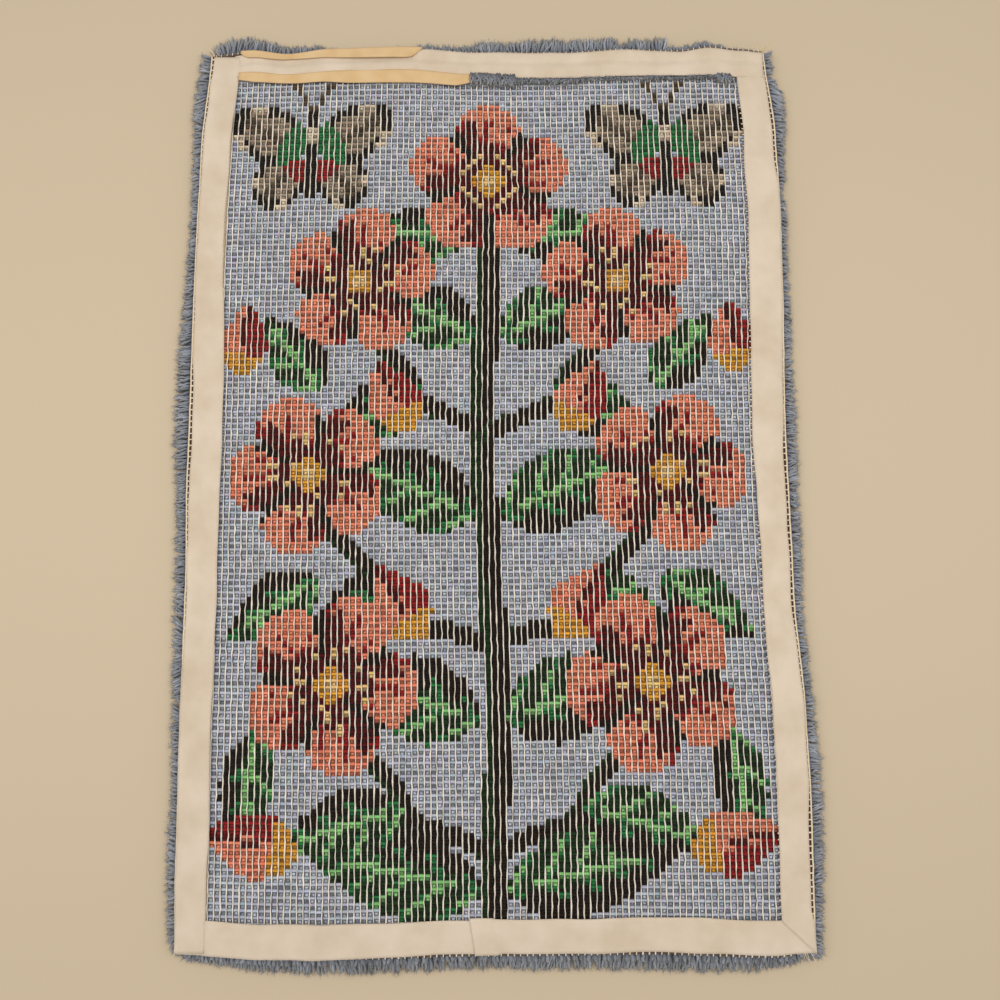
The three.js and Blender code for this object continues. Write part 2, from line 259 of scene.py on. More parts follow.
@dataclass
class Lay:
    """How the cloth lies: the canvas grid, the knots of it that show and its uneven outline."""

    pitch: float = 25.4 * MM / 3.75
    columns: int = 100
    rows: int = 150
    first_column: int = 5
    first_row: int = 4
    last_row: int = 146
    left: Bow = Bow((0, 0.09, 0.24, 0.37, 0.5, 0.75, 0.88, 1), (-12, -9.1, -6.6, -5.9, -2, 0, -0.9, -8.1))
    right: Bow = Bow(
        (0, 0.16, 0.24, 0.37, 0.55, 0.72, 0.8, 0.89, 1),
        (6.9, 8.9, 7.2, 0, -1.5, 2.4, 3.5, 1.5, -8.7),
    )
    top: Bow = Bow(
        (0, 0.08, 0.14, 0.22, 0.36, 0.48, 0.63, 0.74, 0.836, 0.9, 0.955, 1),
        (-2.5, 3.5, -1, 4, 7, 2.5, 2.3, 6.4, 4.6, 10, 6.5, 3.2),
    )
    bottom: Bow = Bow((0, 0.16, 0.3, 0.46, 0.75, 0.93, 1), (1, 6.8, 5.2, 2.2, 0.4, 3.5, -0.4))
    probes: int = 400
    shift: np.ndarray = field(default_factory=lambda: np.zeros(2))

    def __post_init__(self) -> None:
        """Moves the outline to where the frame's canvas lies."""
        share = np.linspace(0, 1, self.probes)
        edge, ones = np.zeros_like(share), np.ones_like(share)
        low_x = self.at(edge, share)[:, 0].min()
        low_y = self.at(share, edge)[:, 1].min()
        high_x = self.at(ones, share)[:, 0].max()
        high_y = self.at(share, ones)[:, 1].max()
        low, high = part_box("canvas")
        middle = np.array([low.x + high.x, low.y + high.y]) / 2
        self.shift = middle - np.array([low_x + high_x, low_y + high_y]) / 2

    @property
    def width(self) -> float:
        """The canvas's width on a straight grid."""
        return self.columns * self.pitch

    @property
    def height(self) -> float:
        """The canvas's height on a straight grid."""
        return self.rows * self.pitch

    def length(self, side: Side) -> float:
        """The length of an edge on a straight grid."""
        return self.height if side.upright else self.width

    def at(self, across: np.ndarray, up: np.ndarray) -> np.ndarray:
        """Places on the lying cloth.

        Args:
            across: Shares from the left edge to the right one.
            up: Shares from the bottom edge to the top one.

        Returns:
            An array whose last axis holds X and Y in metres.
        """
        low_x = -self.width / 2 - self.left.inside(up, across * self.width)
        high_x = self.width / 2 + self.right.inside(up, (1 - across) * self.width)
        low_y = -self.height / 2 - self.bottom.inside(across, up * self.height)
        high_y = self.height / 2 + self.top.inside(across, (1 - up) * self.height)
        x = low_x + (high_x - low_x) * across
        y = low_y + (high_y - low_y) * up
        return np.stack([x, y], axis=-1) + self.shift

    def from_edge(self, side: Side, along: np.ndarray, inset: np.ndarray) -> np.ndarray:
        """Places measured from an edge's fold.

        Args:
            side: The edge.
            along: Metres along it, from its bottom or left end.
            inset: Metres inwards from the fold.

        Returns:
            An array whose last axis holds X and Y in metres.
        """
        along, inset = np.broadcast_arrays(np.asarray(along, float), np.asarray(inset, float))
        share = along / self.length(side)
        end = np.full_like(share, side.far)
        fold = self.at(end, share) if side.upright else self.at(share, end)
        return fold + inset[..., None] * side.inward


@dataclass
class Chart:
    """The design, one yarn for each knot, counted from the bottom left of the back."""

    columns: int
    rows: int
    cells: np.ndarray = field(init=False)
    x: np.ndarray = field(init=False)
    y: np.ndarray = field(init=False)

    def __post_init__(self) -> None:
        """Starts from a plain ground."""
        self.cells = np.zeros((self.rows, self.columns), int)
        half = 0.5
        self.x, self.y = np.meshgrid(np.arange(self.columns) + half, np.arange(self.rows) + half)

    def stitch(self, mask: np.ndarray, yarn: Yarn) -> None:
        """Knots the masked cells in a yarn."""
        self.cells[mask] = list(Yarn).index(yarn)

    def colours(self) -> np.ndarray:
        """The linear colour of each cell."""
        return np.array([yarn.tone for yarn in Yarn])[self.cells]


@dataclass(frozen=True)
class Stem:
    """A bending stem through a few points, in knots."""

    points: tuple[tuple[float, float], ...]
    half_width: float
    light_from: float = 1 / 3
    steps: int = 160

    def stitch(self, chart: Chart) -> None:
        """Knots the stem with a lighter left side.

        Args:
            chart: The design that takes it.
        """
        x, y = np.array(self.points, float).T
        t = np.linspace(0, 1, len(x))
        fine = np.linspace(0, 1, self.steps)
        line = np.stack([smooth_table(t, x, fine), np.interp(fine, t, y)], axis=1)
        away = np.full(chart.x.shape, np.inf)
        beside = np.zeros(chart.x.shape)
        for px, py in line:
            d = np.hypot(chart.x - px, chart.y - py)
            nearer = d < away
            beside[nearer] = (chart.x - px)[nearer]
            away = np.minimum(away, d)
        inside = away < self.half_width
        chart.stitch(inside, Yarn.BARK)
        chart.stitch(inside & (beside < -self.half_width * self.light_from), Yarn.PINE)


@dataclass(frozen=True)
class Leaf:
    """A pointed leaf from its stalk end, in knots and degrees.

    Its teeth, shaded half and veins are shares of its length and half width.
    """

    x: float
    y: float
    length: float
    half_width: float
    angle: float
    taper: float = 0.75
    tooth_depth: float = 0.12
    teeth_per_knot: float = 0.45
    shaded_below: float = -0.3
    vein_slope: float = 0.9
    vein_pitch: float = 5.2
    vein_width: float = 1.6
    vein_from: float = -0.6
    light_width: float = 1.1
    light_span: tuple[float, float] = (0.2, 0.85)
    midrib_half: float = 0.6
    midrib_span: tuple[float, float] = (0.12, 0.8)

    def stitch(self, chart: Chart) -> None:
        """Knots the leaf: a dark blade, a shaded half, side veins and a pale midrib.

        Args:
            chart: The design that takes it.
        """
        along, beside = turned(chart.x - self.x, chart.y - self.y, self.angle)
        t = np.clip(along / self.length, 0, 1)
        tooth = self.tooth_depth * ((along * self.teeth_per_knot) % 1)
        half = self.half_width * np.sin(math.pi * t**self.taper) * (1 - tooth)
        blade = (along > 0) & (along < self.length) & (np.abs(beside) < half)
        chart.stitch(blade, Yarn.PINE)
        chart.stitch(blade & (beside < self.shaded_below * half), Yarn.BARK)
        vein = (along - self.vein_slope * np.abs(beside)) % self.vein_pitch
        chart.stitch(blade & (vein < self.vein_width) & (beside > self.vein_from * half), Yarn.EMERALD)
        low, high = self.light_span
        light = (vein < self.light_width) & (beside > low * half) & (beside < high * half)
        chart.stitch(blade & light, Yarn.MINT)
        low, high = self.midrib_span
        midrib = (np.abs(beside) < self.midrib_half) & (t > low) & (t < high)
        chart.stitch(blade & midrib, Yarn.MINT)


@dataclass(frozen=True)
class Streak:
    """A streak down a petal: a share of the petal's length, its middle and its half width across it."""

    share: float
    middle: float
    half: float

    def across(self, beside: np.ndarray) -> np.ndarray:
        """Which places are in the streak's width."""
        return np.abs(beside - self.middle) < self.half


@dataclass(frozen=True)
class Blossom:
    """A round blossom seen from the front, in knots and degrees.

    Places in it are shares of the rim's radius and of a petal's width.
    """

    x: float
    y: float
    radius: float
    turn: float
    petals: int = 5
    narrow: float = 0.66
    swell: float = 0.34
    roundness: float = 0.6
    streaks: int = 4
    tip_from: float = 0.68
    tip_ripple: float = 0.16
    tip_edge: float = 0.3
    light: Streak = Streak(0.5, -0.16, 0.12)
    fold: Streak = Streak(0.86, 0.3, 0.13)
    throat: float = 0.48
    gap: Streak = Streak(0.3, 0.5, 0.07)
    speck: Streak = Streak(0.86, 0.42, 0.12)
    middle: float = 0.19
    core: float = 0.09

    def stitch(self, chart: Chart) -> None:
        """Knots the petals, their dark throats and folds, and the gold middle.

        Args:
            chart: The design that takes it.
        """
        dx, dy = chart.x - self.x, chart.y - self.y
        away = np.hypot(dx, dy)
        turns = (np.arctan2(dy, dx) - math.radians(self.turn)) / (2 * math.pi) * self.petals
        beside = (turns + 0.5) % 1 - 0.5
        rim = self.radius * (self.narrow + self.swell * np.cos(math.pi * beside) ** self.roundness)
        share = away / rim
        petal = share < 1
        ripple = np.cos(2 * self.streaks * math.pi * turns)
        tip = (share > self.tip_from + self.tip_ripple * ripple) & (beside < self.tip_edge)
        chart.stitch(petal, Yarn.CRIMSON)
        chart.stitch(petal & tip, Yarn.CORAL)
        chart.stitch(petal & (share > self.light.share) & self.light.across(beside), Yarn.CORAL)
        chart.stitch(petal & (share < self.fold.share) & self.fold.across(beside), Yarn.DARK_RED)
        chart.stitch(petal & (share < self.throat), Yarn.DARK_RED)
        chart.stitch(petal & (share > self.gap.share) & self.gap.across(np.abs(beside)), Yarn.BARK)
        chart.stitch(petal & self.speck.across(share) & (ripple > self.speck.share), Yarn.STRAW)
        chart.stitch(away < self.middle * self.radius, Yarn.GOLD)
        chart.stitch(away < self.core * self.radius, Yarn.STRAW)


@dataclass(frozen=True)
class Bud:
    """A closed bud on a gold calyx, in knots and degrees, with shares of its length and half width."""

    x: float
    y: float
    length: float
    angle: float
    fullness: float = 0.3
    taper: float = 0.8
    least_half: float = 0.5
    shaded_below: float = -0.2
    crease_half: float = 0.5
    crease_from: float = 0.4
    calyx_to: float = 0.3

    def stitch(self, chart: Chart) -> None:
        """Knots the calyx, the bud and its dark side.

        Args:
            chart: The design that takes it.
        """
        along, beside = turned(chart.x - self.x, chart.y - self.y, self.angle)
        t = along / self.length
        bulge = np.sin(math.pi * np.clip(t, 0, 1) ** self.taper)
        half = self.fullness * self.length * bulge + self.least_half
        inside = (t > 0) & (t < 1) & (np.abs(beside) < half)
        chart.stitch(inside, Yarn.CORAL)
        chart.stitch(inside & (beside < self.shaded_below * half), Yarn.CRIMSON)
        chart.stitch(inside & (np.abs(beside) < self.crease_half) & (t > self.crease_from), Yarn.DARK_RED)
        chart.stitch(inside & (t < self.calyx_to), Yarn.GOLD)


@dataclass(frozen=True)
class Wing:
    """A butterfly's wing: its middle and half axes in spans, its lean in degrees and its patch's yarn."""

    middle: tuple[float, float]
    axes: tuple[float, float]
    lean: float
    patch: Yarn


@dataclass(frozen=True)
class Butterfly:
    """A butterfly with spread wings, in knots, with places on it in spans or shares of a wing."""

    x: float
    y: float
    span: float
    wings: tuple[Wing, ...] = (
        Wing((0.2, -0.18), (0.2, 0.17), -50, Yarn.CRIMSON),
        Wing((0.28, 0.14), (0.27, 0.18), 28, Yarn.EMERALD),
    )
    rays: int = 9
    ray_origin: float = 1.4
    ray_from: float = 0.55
    patch_to: float = -0.35
    border: tuple[float, float] = (0.72, -0.5)
    spot_from: float = 0.76
    spot_ray: float = -0.6
    body_half_width: float = 1
    body_half: float = 0.3
    collar: tuple[float, float] = (0.12, 0.06)
    feeler_span: tuple[float, float] = (0.28, 0.5)
    feeler_slope: float = 0.6
    feeler_half: float = 0.6

    def wing(self, chart: Chart, wing: Wing) -> None:
        """Knots a pair of wings.

        Args:
            chart: The design that takes them.
            wing: The right one of the pair.
        """
        dx = np.abs(chart.x - self.x) - wing.middle[0] * self.span
        dy = chart.y - self.y - wing.middle[1] * self.span
        along, beside = turned(dx, dy, wing.lean)
        along = along / (wing.axes[0] * self.span)
        beside = beside / (wing.axes[1] * self.span)
        share = np.hypot(along, beside)
        inside = share < 1
        fan = np.cos(self.rays * np.arctan2(beside, along + self.ray_origin))
        chart.stitch(inside, Yarn.TAUPE)
        chart.stitch(inside & (fan > self.ray_from), Yarn.UMBER)
        chart.stitch(inside & (along < self.patch_to), wing.patch)
        chart.stitch(inside & (share > self.border[0]) & (along > self.border[1]), Yarn.BLACK)
        spot = (share > self.spot_from) & (along > 0) & (fan < self.spot_ray)
        chart.stitch(inside & spot, Yarn.CREAM)

    def stitch(self, chart: Chart) -> None:
        """Knots the wings, the body and the feelers.

        Args:
            chart: The design that takes it.
        """
        for wing in self.wings:
            self.wing(chart, wing)
        dx, dy = np.abs(chart.x - self.x), (chart.y - self.y) / self.span
        body = dx < self.body_half_width
        chart.stitch(body & (np.abs(dy) < self.body_half), Yarn.BLACK)
        chart.stitch(body & (np.abs(dy - self.collar[0]) < self.collar[1]), Yarn.CREAM)
        low, high = self.feeler_span
        feeler = np.abs(dx - (dy - low) * self.span * self.feeler_slope) < self.feeler_half
        chart.stitch(feeler & (dy > low) & (dy < high), Yarn.UMBER)


@dataclass
class FloweringTree:
    """The design as a whole: a flowering stem, the same on both sides, with butterflies above.

    Rows are in knots and degrees. Branches have their start, end and tip, and the others have their place,
    sizes and turn.
    """

    chart: Chart
    trunk: tuple[tuple[float, float], ...] = ((0, 4), (0.8, 40), (-0.8, 80), (0, 122))
    trunk_half: float = 2.1
    branches: tuple[tuple[float, float, float], ...] = ((14, 36, 25), (46, 71, 21), (81, 103, 28))
    branch_half: float = 1.45
    branch_bend: tuple[float, float] = (0.55, 7)
    leaf_rows: tuple[tuple[float, float, float, float, float], ...] = (
        (48, 9, 30, 7, 166), (48, 35, 25, 7, 160), (36, 22, 22, 5.6, 196), (48, 68, 25, 7, 157),
        (37, 57, 21, 5.6, 208), (22, 58, 18, 5.2, 212), (48, 98, 20, 6, 152), (39, 90, 19, 5.4, 212),
        (22, 89, 17, 5, 128), (46, 115, 18, 5, 170), (12, 34, 20, 4.6, 262),
    )
    crown: tuple[float, float, float] = (126, 14, 90)
    blossom_rows: tuple[tuple[float, float, float, float], ...] = (
        (24, 41, 14.5, 66), (20, 75, 13.5, 112), (28, 108, 13, 84),
    )
    bud_rows: tuple[tuple[float, float, float, float], ...] = (
        (39, 48, 14, 124), (37, 82, 13, 116), (19, 15, 15, 168), (8, 92, 12, 84),
    )
    butterfly: tuple[float, float, float] = (19, 131, 27)

    def both(self, x: float) -> tuple[float, float]:
        """A column and the one that mirrors it."""
        return x, self.chart.columns - x

    def pairs(self, kind: type, rows: Sequence[tuple[float, ...]]) -> list[Leaf | Blossom | Bud]:
        """Makes a motif of each row and the one that mirrors it.

        Args:
            kind: The motif's class.
            rows: Column and row, then sizes, then the turn in degrees.

        Returns:
            The motifs, pair by pair.
        """
        made = []
        for x, y, *sizes, turn in rows:
            made.append(kind(x, y, *sizes, turn))
            made.append(kind(self.chart.columns - x, y, *sizes, 180 - turn))
        return made

    def stems(self) -> list[Stem]:
        """The main stem and its branches.

        Returns:
            The stems.
        """
        middle = self.chart.columns / 2
        share, rise = self.branch_bend
        made = [Stem(tuple((middle + x, y) for x, y in self.trunk), self.trunk_half)]
        for start, end, x in self.branches:
            for tip in self.both(x):
                bend = (middle + (tip - middle) * share, start + rise)
                made.append(Stem(((middle, start), bend, (tip, end)), self.branch_half))
        return made

    def stitch(self) -> None:
        """Knots everything into the chart, from back to front."""
        leaves, buds = self.pairs(Leaf, self.leaf_rows), self.pairs(Bud, self.bud_rows)
        blossoms = [Blossom(self.chart.columns / 2, *self.crown), *self.pairs(Blossom, self.blossom_rows)]
        column, *rest = self.butterfly
        flies = [Butterfly(x, *rest) for x in self.both(column)]
        for motif in (*self.stems(), *leaves, *buds, *blossoms, *flies):
            motif.stitch(self.chart)


def link(name: str, data: bpy.types.ID) -> bpy.types.Object:
    """Makes an object at the origin and links it to the scene.

    Args:
        name: Its name.
        data: Its mesh, light or camera.

    Returns:
        The object.
    """
    made = bpy.data.objects.new(name, data)
    bpy.context.scene.collection.objects.link(made)
    return made


def paint(mesh: bpy.types.Mesh, colours: np.ndarray, domain: Domain) -> None:
    """Gives a mesh its colour attribute.

    Args:
        mesh: The mesh.
        colours: A linear colour for each vertex or each corner.
        domain: Which of the two the colours belong to.
    """
    attribute = mesh.color_attributes.new(COLOUR, "FLOAT_COLOR", domain.value)
    shown = np.concatenate([colours, np.ones((len(colours), 1))], axis=1)
    attribute.data.foreach_set("color", shown.astype(np.float32).ravel())


class Joined:
    """Many small things made from arrays and joined into one mesh."""

    def __init__(self) -> None:
        """Starts with nothing."""
        self.points: list[np.ndarray] = []
        self.faces: list[np.ndarray] = []
        self.colours: list[np.ndarray] = []
        self.count = 0

    def add(self, points: np.ndarray, faces: Sequence[np.ndarray], colours: np.ndarray) -> None:
        """Adds points with faces and colours.

        Args:
            points: The vertices, in rows of three.
            faces: Arrays of faces, each array with faces of one size.
            colours: A linear colour for each vertex, or one for all of them.
        """
        self.points.append(points)
        self.faces += [np.asarray(face) + self.count for face in faces]
        self.colours.append(np.broadcast_to(colours, points.shape))
        self.count += len(points)

    def build(self, name: str, material: bpy.types.Material) -> bpy.types.Object:
        """Makes the object.

        Args:
            name: The piece's name.
            material: Its finish.

        Returns:
            The new object, linked to the scene.
        """
        points = np.concatenate(self.points)
        loops = np.concatenate([face.ravel() for face in self.faces])
        sizes = np.concatenate([np.full(len(face), face.shape[1]) for face in self.faces])
        starts = np.concatenate([[0], np.cumsum(sizes)[:-1]])
        mesh = bpy.data.meshes.new(name)
        mesh.vertices.add(len(points))
        mesh.vertices.foreach_set("co", points.astype(np.float32).ravel())
        mesh.loops.add(len(loops))
        mesh.loops.foreach_set("vertex_index", loops.astype(np.int32))
        mesh.polygons.add(len(sizes))
        mesh.polygons.foreach_set("loop_start", starts.astype(np.int32))
        mesh.update(calc_edges=True)
        mesh.shade_smooth()
        paint(mesh, np.concatenate(self.colours), Domain.POINT)
        mesh.materials.append(material)
        return link(name, mesh)


def raised(place: np.ndarray, height: np.ndarray) -> np.ndarray:
    """Paths of X and Y with their heights added as the last axis's third value."""
    return np.concatenate([place, height[..., None]], axis=2)


def directions(paths: np.ndarray) -> np.ndarray:
    """The unit direction at each point of many paths."""
    along = np.gradient(paths, axis=1)
    return along / (np.linalg.norm(along, axis=2, keepdims=True) + TINY)


def tubes(
    paths: np.ndarray, wide: np.ndarray, high: np.ndarray, sides: int,
) -> tuple[np.ndarray, list[np.ndarray]]:
    """Closed tubes along many paths with the same number of points.

    Args:
        paths: The paths, one row for each, then their points.
        wide: Half the width at each point.
        high: Half the height at each point.
        sides: How many sides a tube has.

    Returns:
        The vertices, and the arrays of side faces and end faces.
    """
    least_level = 0.05
    count, steps, _ = paths.shape
    along = directions(paths)
    beside = np.cross(along, np.array([0.0, 0.0, 1.0]))
    level = np.linalg.norm(beside, axis=2, keepdims=True)
    beside = np.where(level > least_level, beside / (level + TINY), np.array([1.0, 0.0, 0.0]))
    over = np.cross(beside, along)
    angle = math.pi / 2 + 2 * math.pi * np.arange(sides) / sides
    wide, high = np.broadcast_to(wide, (count, steps)), np.broadcast_to(high, (count, steps))
    ring = (
        paths[:, :, None]
        + beside[:, :, None] * (wide[..., None] * np.cos(angle))[..., None]
        + over[:, :, None] * (high[..., None] * np.sin(angle))[..., None]
    )
    index = np.arange(count * steps * sides).reshape(count, steps, sides)
    turned_on = np.roll(index, -1, axis=2)
    quads = np.stack([index[:, :-1], index[:, 1:], turned_on[:, 1:], turned_on[:, :-1]], axis=-1)
    return ring.reshape(-1, 3), [quads.reshape(-1, 4), index[:, 0], index[:, -1, ::-1]]


def ring_colours(per_point: np.ndarray, sides: int) -> np.ndarray:
    """Spreads colours given for each path point over the vertices of its ring.

    Args:
        per_point: Colours by path and point.
        sides: How many sides the tubes have.

    Returns:
        A colour for each vertex.
    """
    return np.repeat(per_point.reshape(-1, 3), sides, axis=0)


def cloth_sheet(
    name: str, cells: tuple[int, int], size: tuple[float, float], place: Place, thickness: float,
    material: bpy.types.Material,
) -> bpy.types.Object:
    """A sheet of cloth with thickness, moved from a flat grid to its place.

    Args:
        name: The piece's name.
        cells: Grid cells across and along.
        size: The sheet's width and length, which its UV map is laid out in, in metres.
        place: Gives the top's points from shares across and along.
        thickness: How thick the cloth is.
        material: Its finish.

    Returns:
        The new object, linked to the scene.
    """
    half = 0.5
    bm = bmesh.new()
    bmesh.ops.create_grid(bm, x_segments=cells[0], y_segments=cells[1], size=half)
    shares = np.array([vert.co[:2] for vert in bm.verts]) + half
    layer = bm.loops.layers.uv.new(UV_MAP)
    for face in bm.faces:
        for loop in face.loops:
            u, v = loop.vert.co[:2]
            loop[layer].uv = ((u + half) * size[0], (v + half) * size[1])
    placed = place(shares[:, 0], shares[:, 1])
    for vert, point in zip(bm.verts, placed):
        vert.co = point
    made = bmesh.ops.extrude_face_region(bm, geom=bm.faces[:], use_keep_orig=True)
    lower = [part for part in made["geom"] if isinstance(part, bmesh.types.BMVert)]
    bmesh.ops.translate(bm, vec=(0, 0, -thickness), verts=lower)
    bmesh.ops.recalc_face_normals(bm, faces=bm.faces[:])
    mesh = bpy.data.meshes.new(name)
    bm.to_mesh(mesh)
    bm.free()
    mesh.shade_smooth()
    mesh.materials.append(material)
    return link(name, mesh)


def set_sockets(node: bpy.types.Node, values: dict[str, float]) -> None:
    """Sets a node's input sockets by their names."""
    for title, value in values.items():
        node.inputs[title].default_value = value


class Socket(Enum):
    """Kinds of sockets that the effects have."""

    FLOAT = "NodeSocketFloat"
    COLOUR = "NodeSocketColor"


class Effects:
    """Shader node groups that several finishes share."""

    @staticmethod
    def start(
        name: str, inputs: dict[str, float | None], outputs: dict[str, Socket],
    ) -> tuple[bpy.types.NodeTree, bpy.types.Node, bpy.types.Node]:
        """Makes an empty group with named sockets.

        Args:
            name: The group's name.
            inputs: The value of each input, or None for a colour.
            outputs: Socket kind for each output.

        Returns:
            The group with its input and output nodes.
        """
        group = bpy.data.node_groups.new(name, "ShaderNodeTree")
        for title, value in inputs.items():
            kind = Socket.COLOUR if value is None else Socket.FLOAT
            socket = group.interface.new_socket(title, in_out="INPUT", socket_type=kind.value)
            if value is not None:
                socket.default_value = value
        for title, kind in outputs.items():
            group.interface.new_socket(title, in_out="OUTPUT", socket_type=kind.value)
        return group, group.nodes.new("NodeGroupInput"), group.nodes.new("NodeGroupOutput")

    @staticmethod
    def mottle(
        group: bpy.types.NodeTree, given: bpy.types.Node, noise_values: dict[str, float],
        spread_values: dict[str, float],
    ) -> tuple[bpy.types.Node, bpy.types.Node]:
        """Adds noise over the piece and a range that its values are spread to.

        Args:
            group: The group that takes them.
            given: Its input node, which has the noise's scale.
            noise_values: What the noise's sockets are set to.
            spread_values: What the range's sockets are set to.

        Returns:
            The noise and the range.
        """
        nodes, links = group.nodes, group.links
        where = nodes.new("ShaderNodeTexCoord")
        noise, spread = nodes.new("ShaderNodeTexNoise"), nodes.new("ShaderNodeMapRange")
        set_sockets(noise, noise_values)
        set_sockets(spread, spread_values)
        links.new(where.outputs["Object"], noise.inputs["Vector"])
        links.new(given.outputs["Scale"], noise.inputs["Scale"])
        links.new(noise.outputs["Fac"], spread.inputs["Value"])
        return noise, spread

    @classmethod
    def fibres(cls) -> bpy.types.NodeTree:
        """Short fibres of yarn: flecks of lighter and darker colour and a fuzzy height.

        Returns:
            The group.
        """
        group, given, result = cls.start(
            "fibres",
            {"Colour": None, "Scale": 700, "Flecks": 0.3},
            {"Colour": Socket.COLOUR, "Height": Socket.FLOAT},
        )
        noise, spread = cls.mottle(
            group, given,
            {"Detail": 4, "Roughness": 0.7},
            {"From Min": 0.3, "From Max": 0.7, "To Min": 0.45, "To Max": 1.4},
        )
        links = group.links
        shade = group.nodes.new("ShaderNodeMix")
        shade.data_type = "RGBA"
        shade.blend_type = "MULTIPLY"
        links.new(given.outputs["Flecks"], shade.inputs["Factor"])
        links.new(given.outputs["Colour"], shade.inputs["A"])
        links.new(spread.outputs["Result"], shade.inputs["B"])
        links.new(shade.outputs["Result"], result.inputs["Colour"])
        links.new(noise.outputs["Fac"], result.inputs["Height"])
        return group

    @classmethod
    def stains(cls) -> bpy.types.NodeTree:
        """Soft uneven yellowing of old cotton, as a mask.

        Returns:
            The group.
        """
        group, given, result = cls.start("stains", {"Scale": 20}, {"Mask": Socket.FLOAT})
        _, spread = cls.mottle(group, given, {"Detail": 5}, {"From Min": 0.35, "From Max": 0.75})
        group.links.new(spread.outputs["Result"], result.inputs["Mask"])
        return group

    @classmethod
    def weave(cls) -> bpy.types.NodeTree:
        """A fine twill on the cloth's own UV map, in metres: a height that changes thread by thread.

        Returns:
            The group.
        """
        group, given, result = cls.start("weave", {"Threads": 1400}, {"Height": Socket.FLOAT})
        nodes, links = group.nodes, group.links
        where = nodes.new("ShaderNodeTexCoord")
        both = nodes.new("ShaderNodeMath")
        both.operation = "ADD"
        for end, degrees in enumerate((45, -63)):
            lay, wave = nodes.new("ShaderNodeMapping"), nodes.new("ShaderNodeTexWave")
            lay.inputs["Rotation"].default_value = (0, 0, math.radians(degrees))
            set_sockets(wave, {"Distortion": 1.2, "Detail Scale": 2})
            links.new(where.outputs["UV"], lay.inputs["Vector"])
            links.new(lay.outputs["Vector"], wave.inputs["Vector"])
            links.new(given.outputs["Threads"], wave.inputs["Scale"])
            links.new(wave.outputs["Fac"], both.inputs[end])
        links.new(both.outputs["Value"], result.inputs["Height"])
        return group


def add_group(
    material: bpy.types.Material, group: bpy.types.NodeTree, values: dict[str, float],
) -> bpy.types.Node:
    """Places a shared effect in a material.

    Args:
        material: The material.
        group: The effect.
        values: What its sockets are set to.

    Returns:
        The group's node.
    """
    made = material.node_tree.nodes.new("ShaderNodeGroup")
    made.node_tree = group
    set_sockets(made, values)
    return made


def start_finish(
    name: str, values: dict[str, float], strength: float, depth: float,
) -> tuple[bpy.types.Material, bpy.types.Node, bpy.types.Node]:
    """Starts a material with its shader's plain values and a bump on its normal.

    Args:
        name: The finish's name.
        values: What the shader's sockets are set to.
        strength: The bump's strength.
        depth: The bump's depth in metres.

    Returns:
        The material, its shader and its bump.
    """
    made = bpy.data.materials.new(name)
    made.use_nodes = True
    shader = made.node_tree.nodes["Principled BSDF"]
    set_sockets(shader, values)
    bump = made.node_tree.nodes.new("ShaderNodeBump")
    set_sockets(bump, {"Strength": strength, "Distance": depth})
    made.node_tree.links.new(bump.outputs["Normal"], shader.inputs["Normal"])
    return made, shader, bump


@dataclass(frozen=True)
class YarnFinish:
    """Fuzzy yarn or thread whose colour is in the mesh's colour attribute."""

    name: str
    fibre_scale: float
    flecks: float
    bump: float
    sheen: float
    roughness: float = 0.95
    specular: float = 0.15
    depth: float = 0.5 * MM

    def make(self, fibres: bpy.types.NodeTree) -> bpy.types.Material:
        """Builds the material.

        Args:
            fibres: The group that gives flecks and height.

        Returns:
            The new material.
        """
        made, shader, bump = start_finish(
            self.name,
            {"Roughness": self.roughness, "Sheen Weight": self.sheen, "Specular IOR Level": self.specular},
            self.bump, self.depth,
        )
        links = made.node_tree.links
        colour = made.node_tree.nodes.new("ShaderNodeAttribute")
        colour.attribute_name = COLOUR
        effect = add_group(made, fibres, {"Scale": self.fibre_scale, "Flecks": self.flecks})
        links.new(colour.outputs["Color"], effect.inputs["Colour"])
        links.new(effect.outputs["Colour"], shader.inputs["Base Color"])
        links.new(effect.outputs["Height"], bump.inputs["Height"])
        return made


@dataclass(frozen=True)
class ClothFinish:
    """Woven cotton: a clean colour, a yellowed one and the weave's relief."""

    name: str
    clean: tuple[int, int, int]
    aged: tuple[int, int, int]
    stain_scale: float
    threads: float
    bump: float
    roughness: float
    sheen: float = 0.1
    specular: float = 0.2
    depth: float = 0.2 * MM

    def make(self, stains: bpy.types.NodeTree, weave: bpy.types.NodeTree) -> bpy.types.Material:
        """Builds the material.

        Args:
            stains: The group that gives the uneven yellowing.
            weave: The group that gives the twill's height.

        Returns:
            The new material.
        """
        made, shader, bump = start_finish(
            self.name,
            {"Roughness": self.roughness, "Sheen Weight": self.sheen, "Specular IOR Level": self.specular},
            self.bump, self.depth,
        )
        links = made.node_tree.links
        mask = add_group(made, stains, {"Scale": self.stain_scale})
        twill = add_group(made, weave, {"Threads": self.threads})
        blend = made.node_tree.nodes.new("ShaderNodeMix")
        blend.data_type = "RGBA"
        blend.inputs["A"].default_value = (*linear(self.clean), 1)
        blend.inputs["B"].default_value = (*linear(self.aged), 1)
        links.new(mask.outputs["Mask"], blend.inputs["Factor"])
        links.new(blend.outputs["Result"], shader.inputs["Base Color"])
        links.new(twill.outputs["Height"], bump.inputs["Height"])
        return made


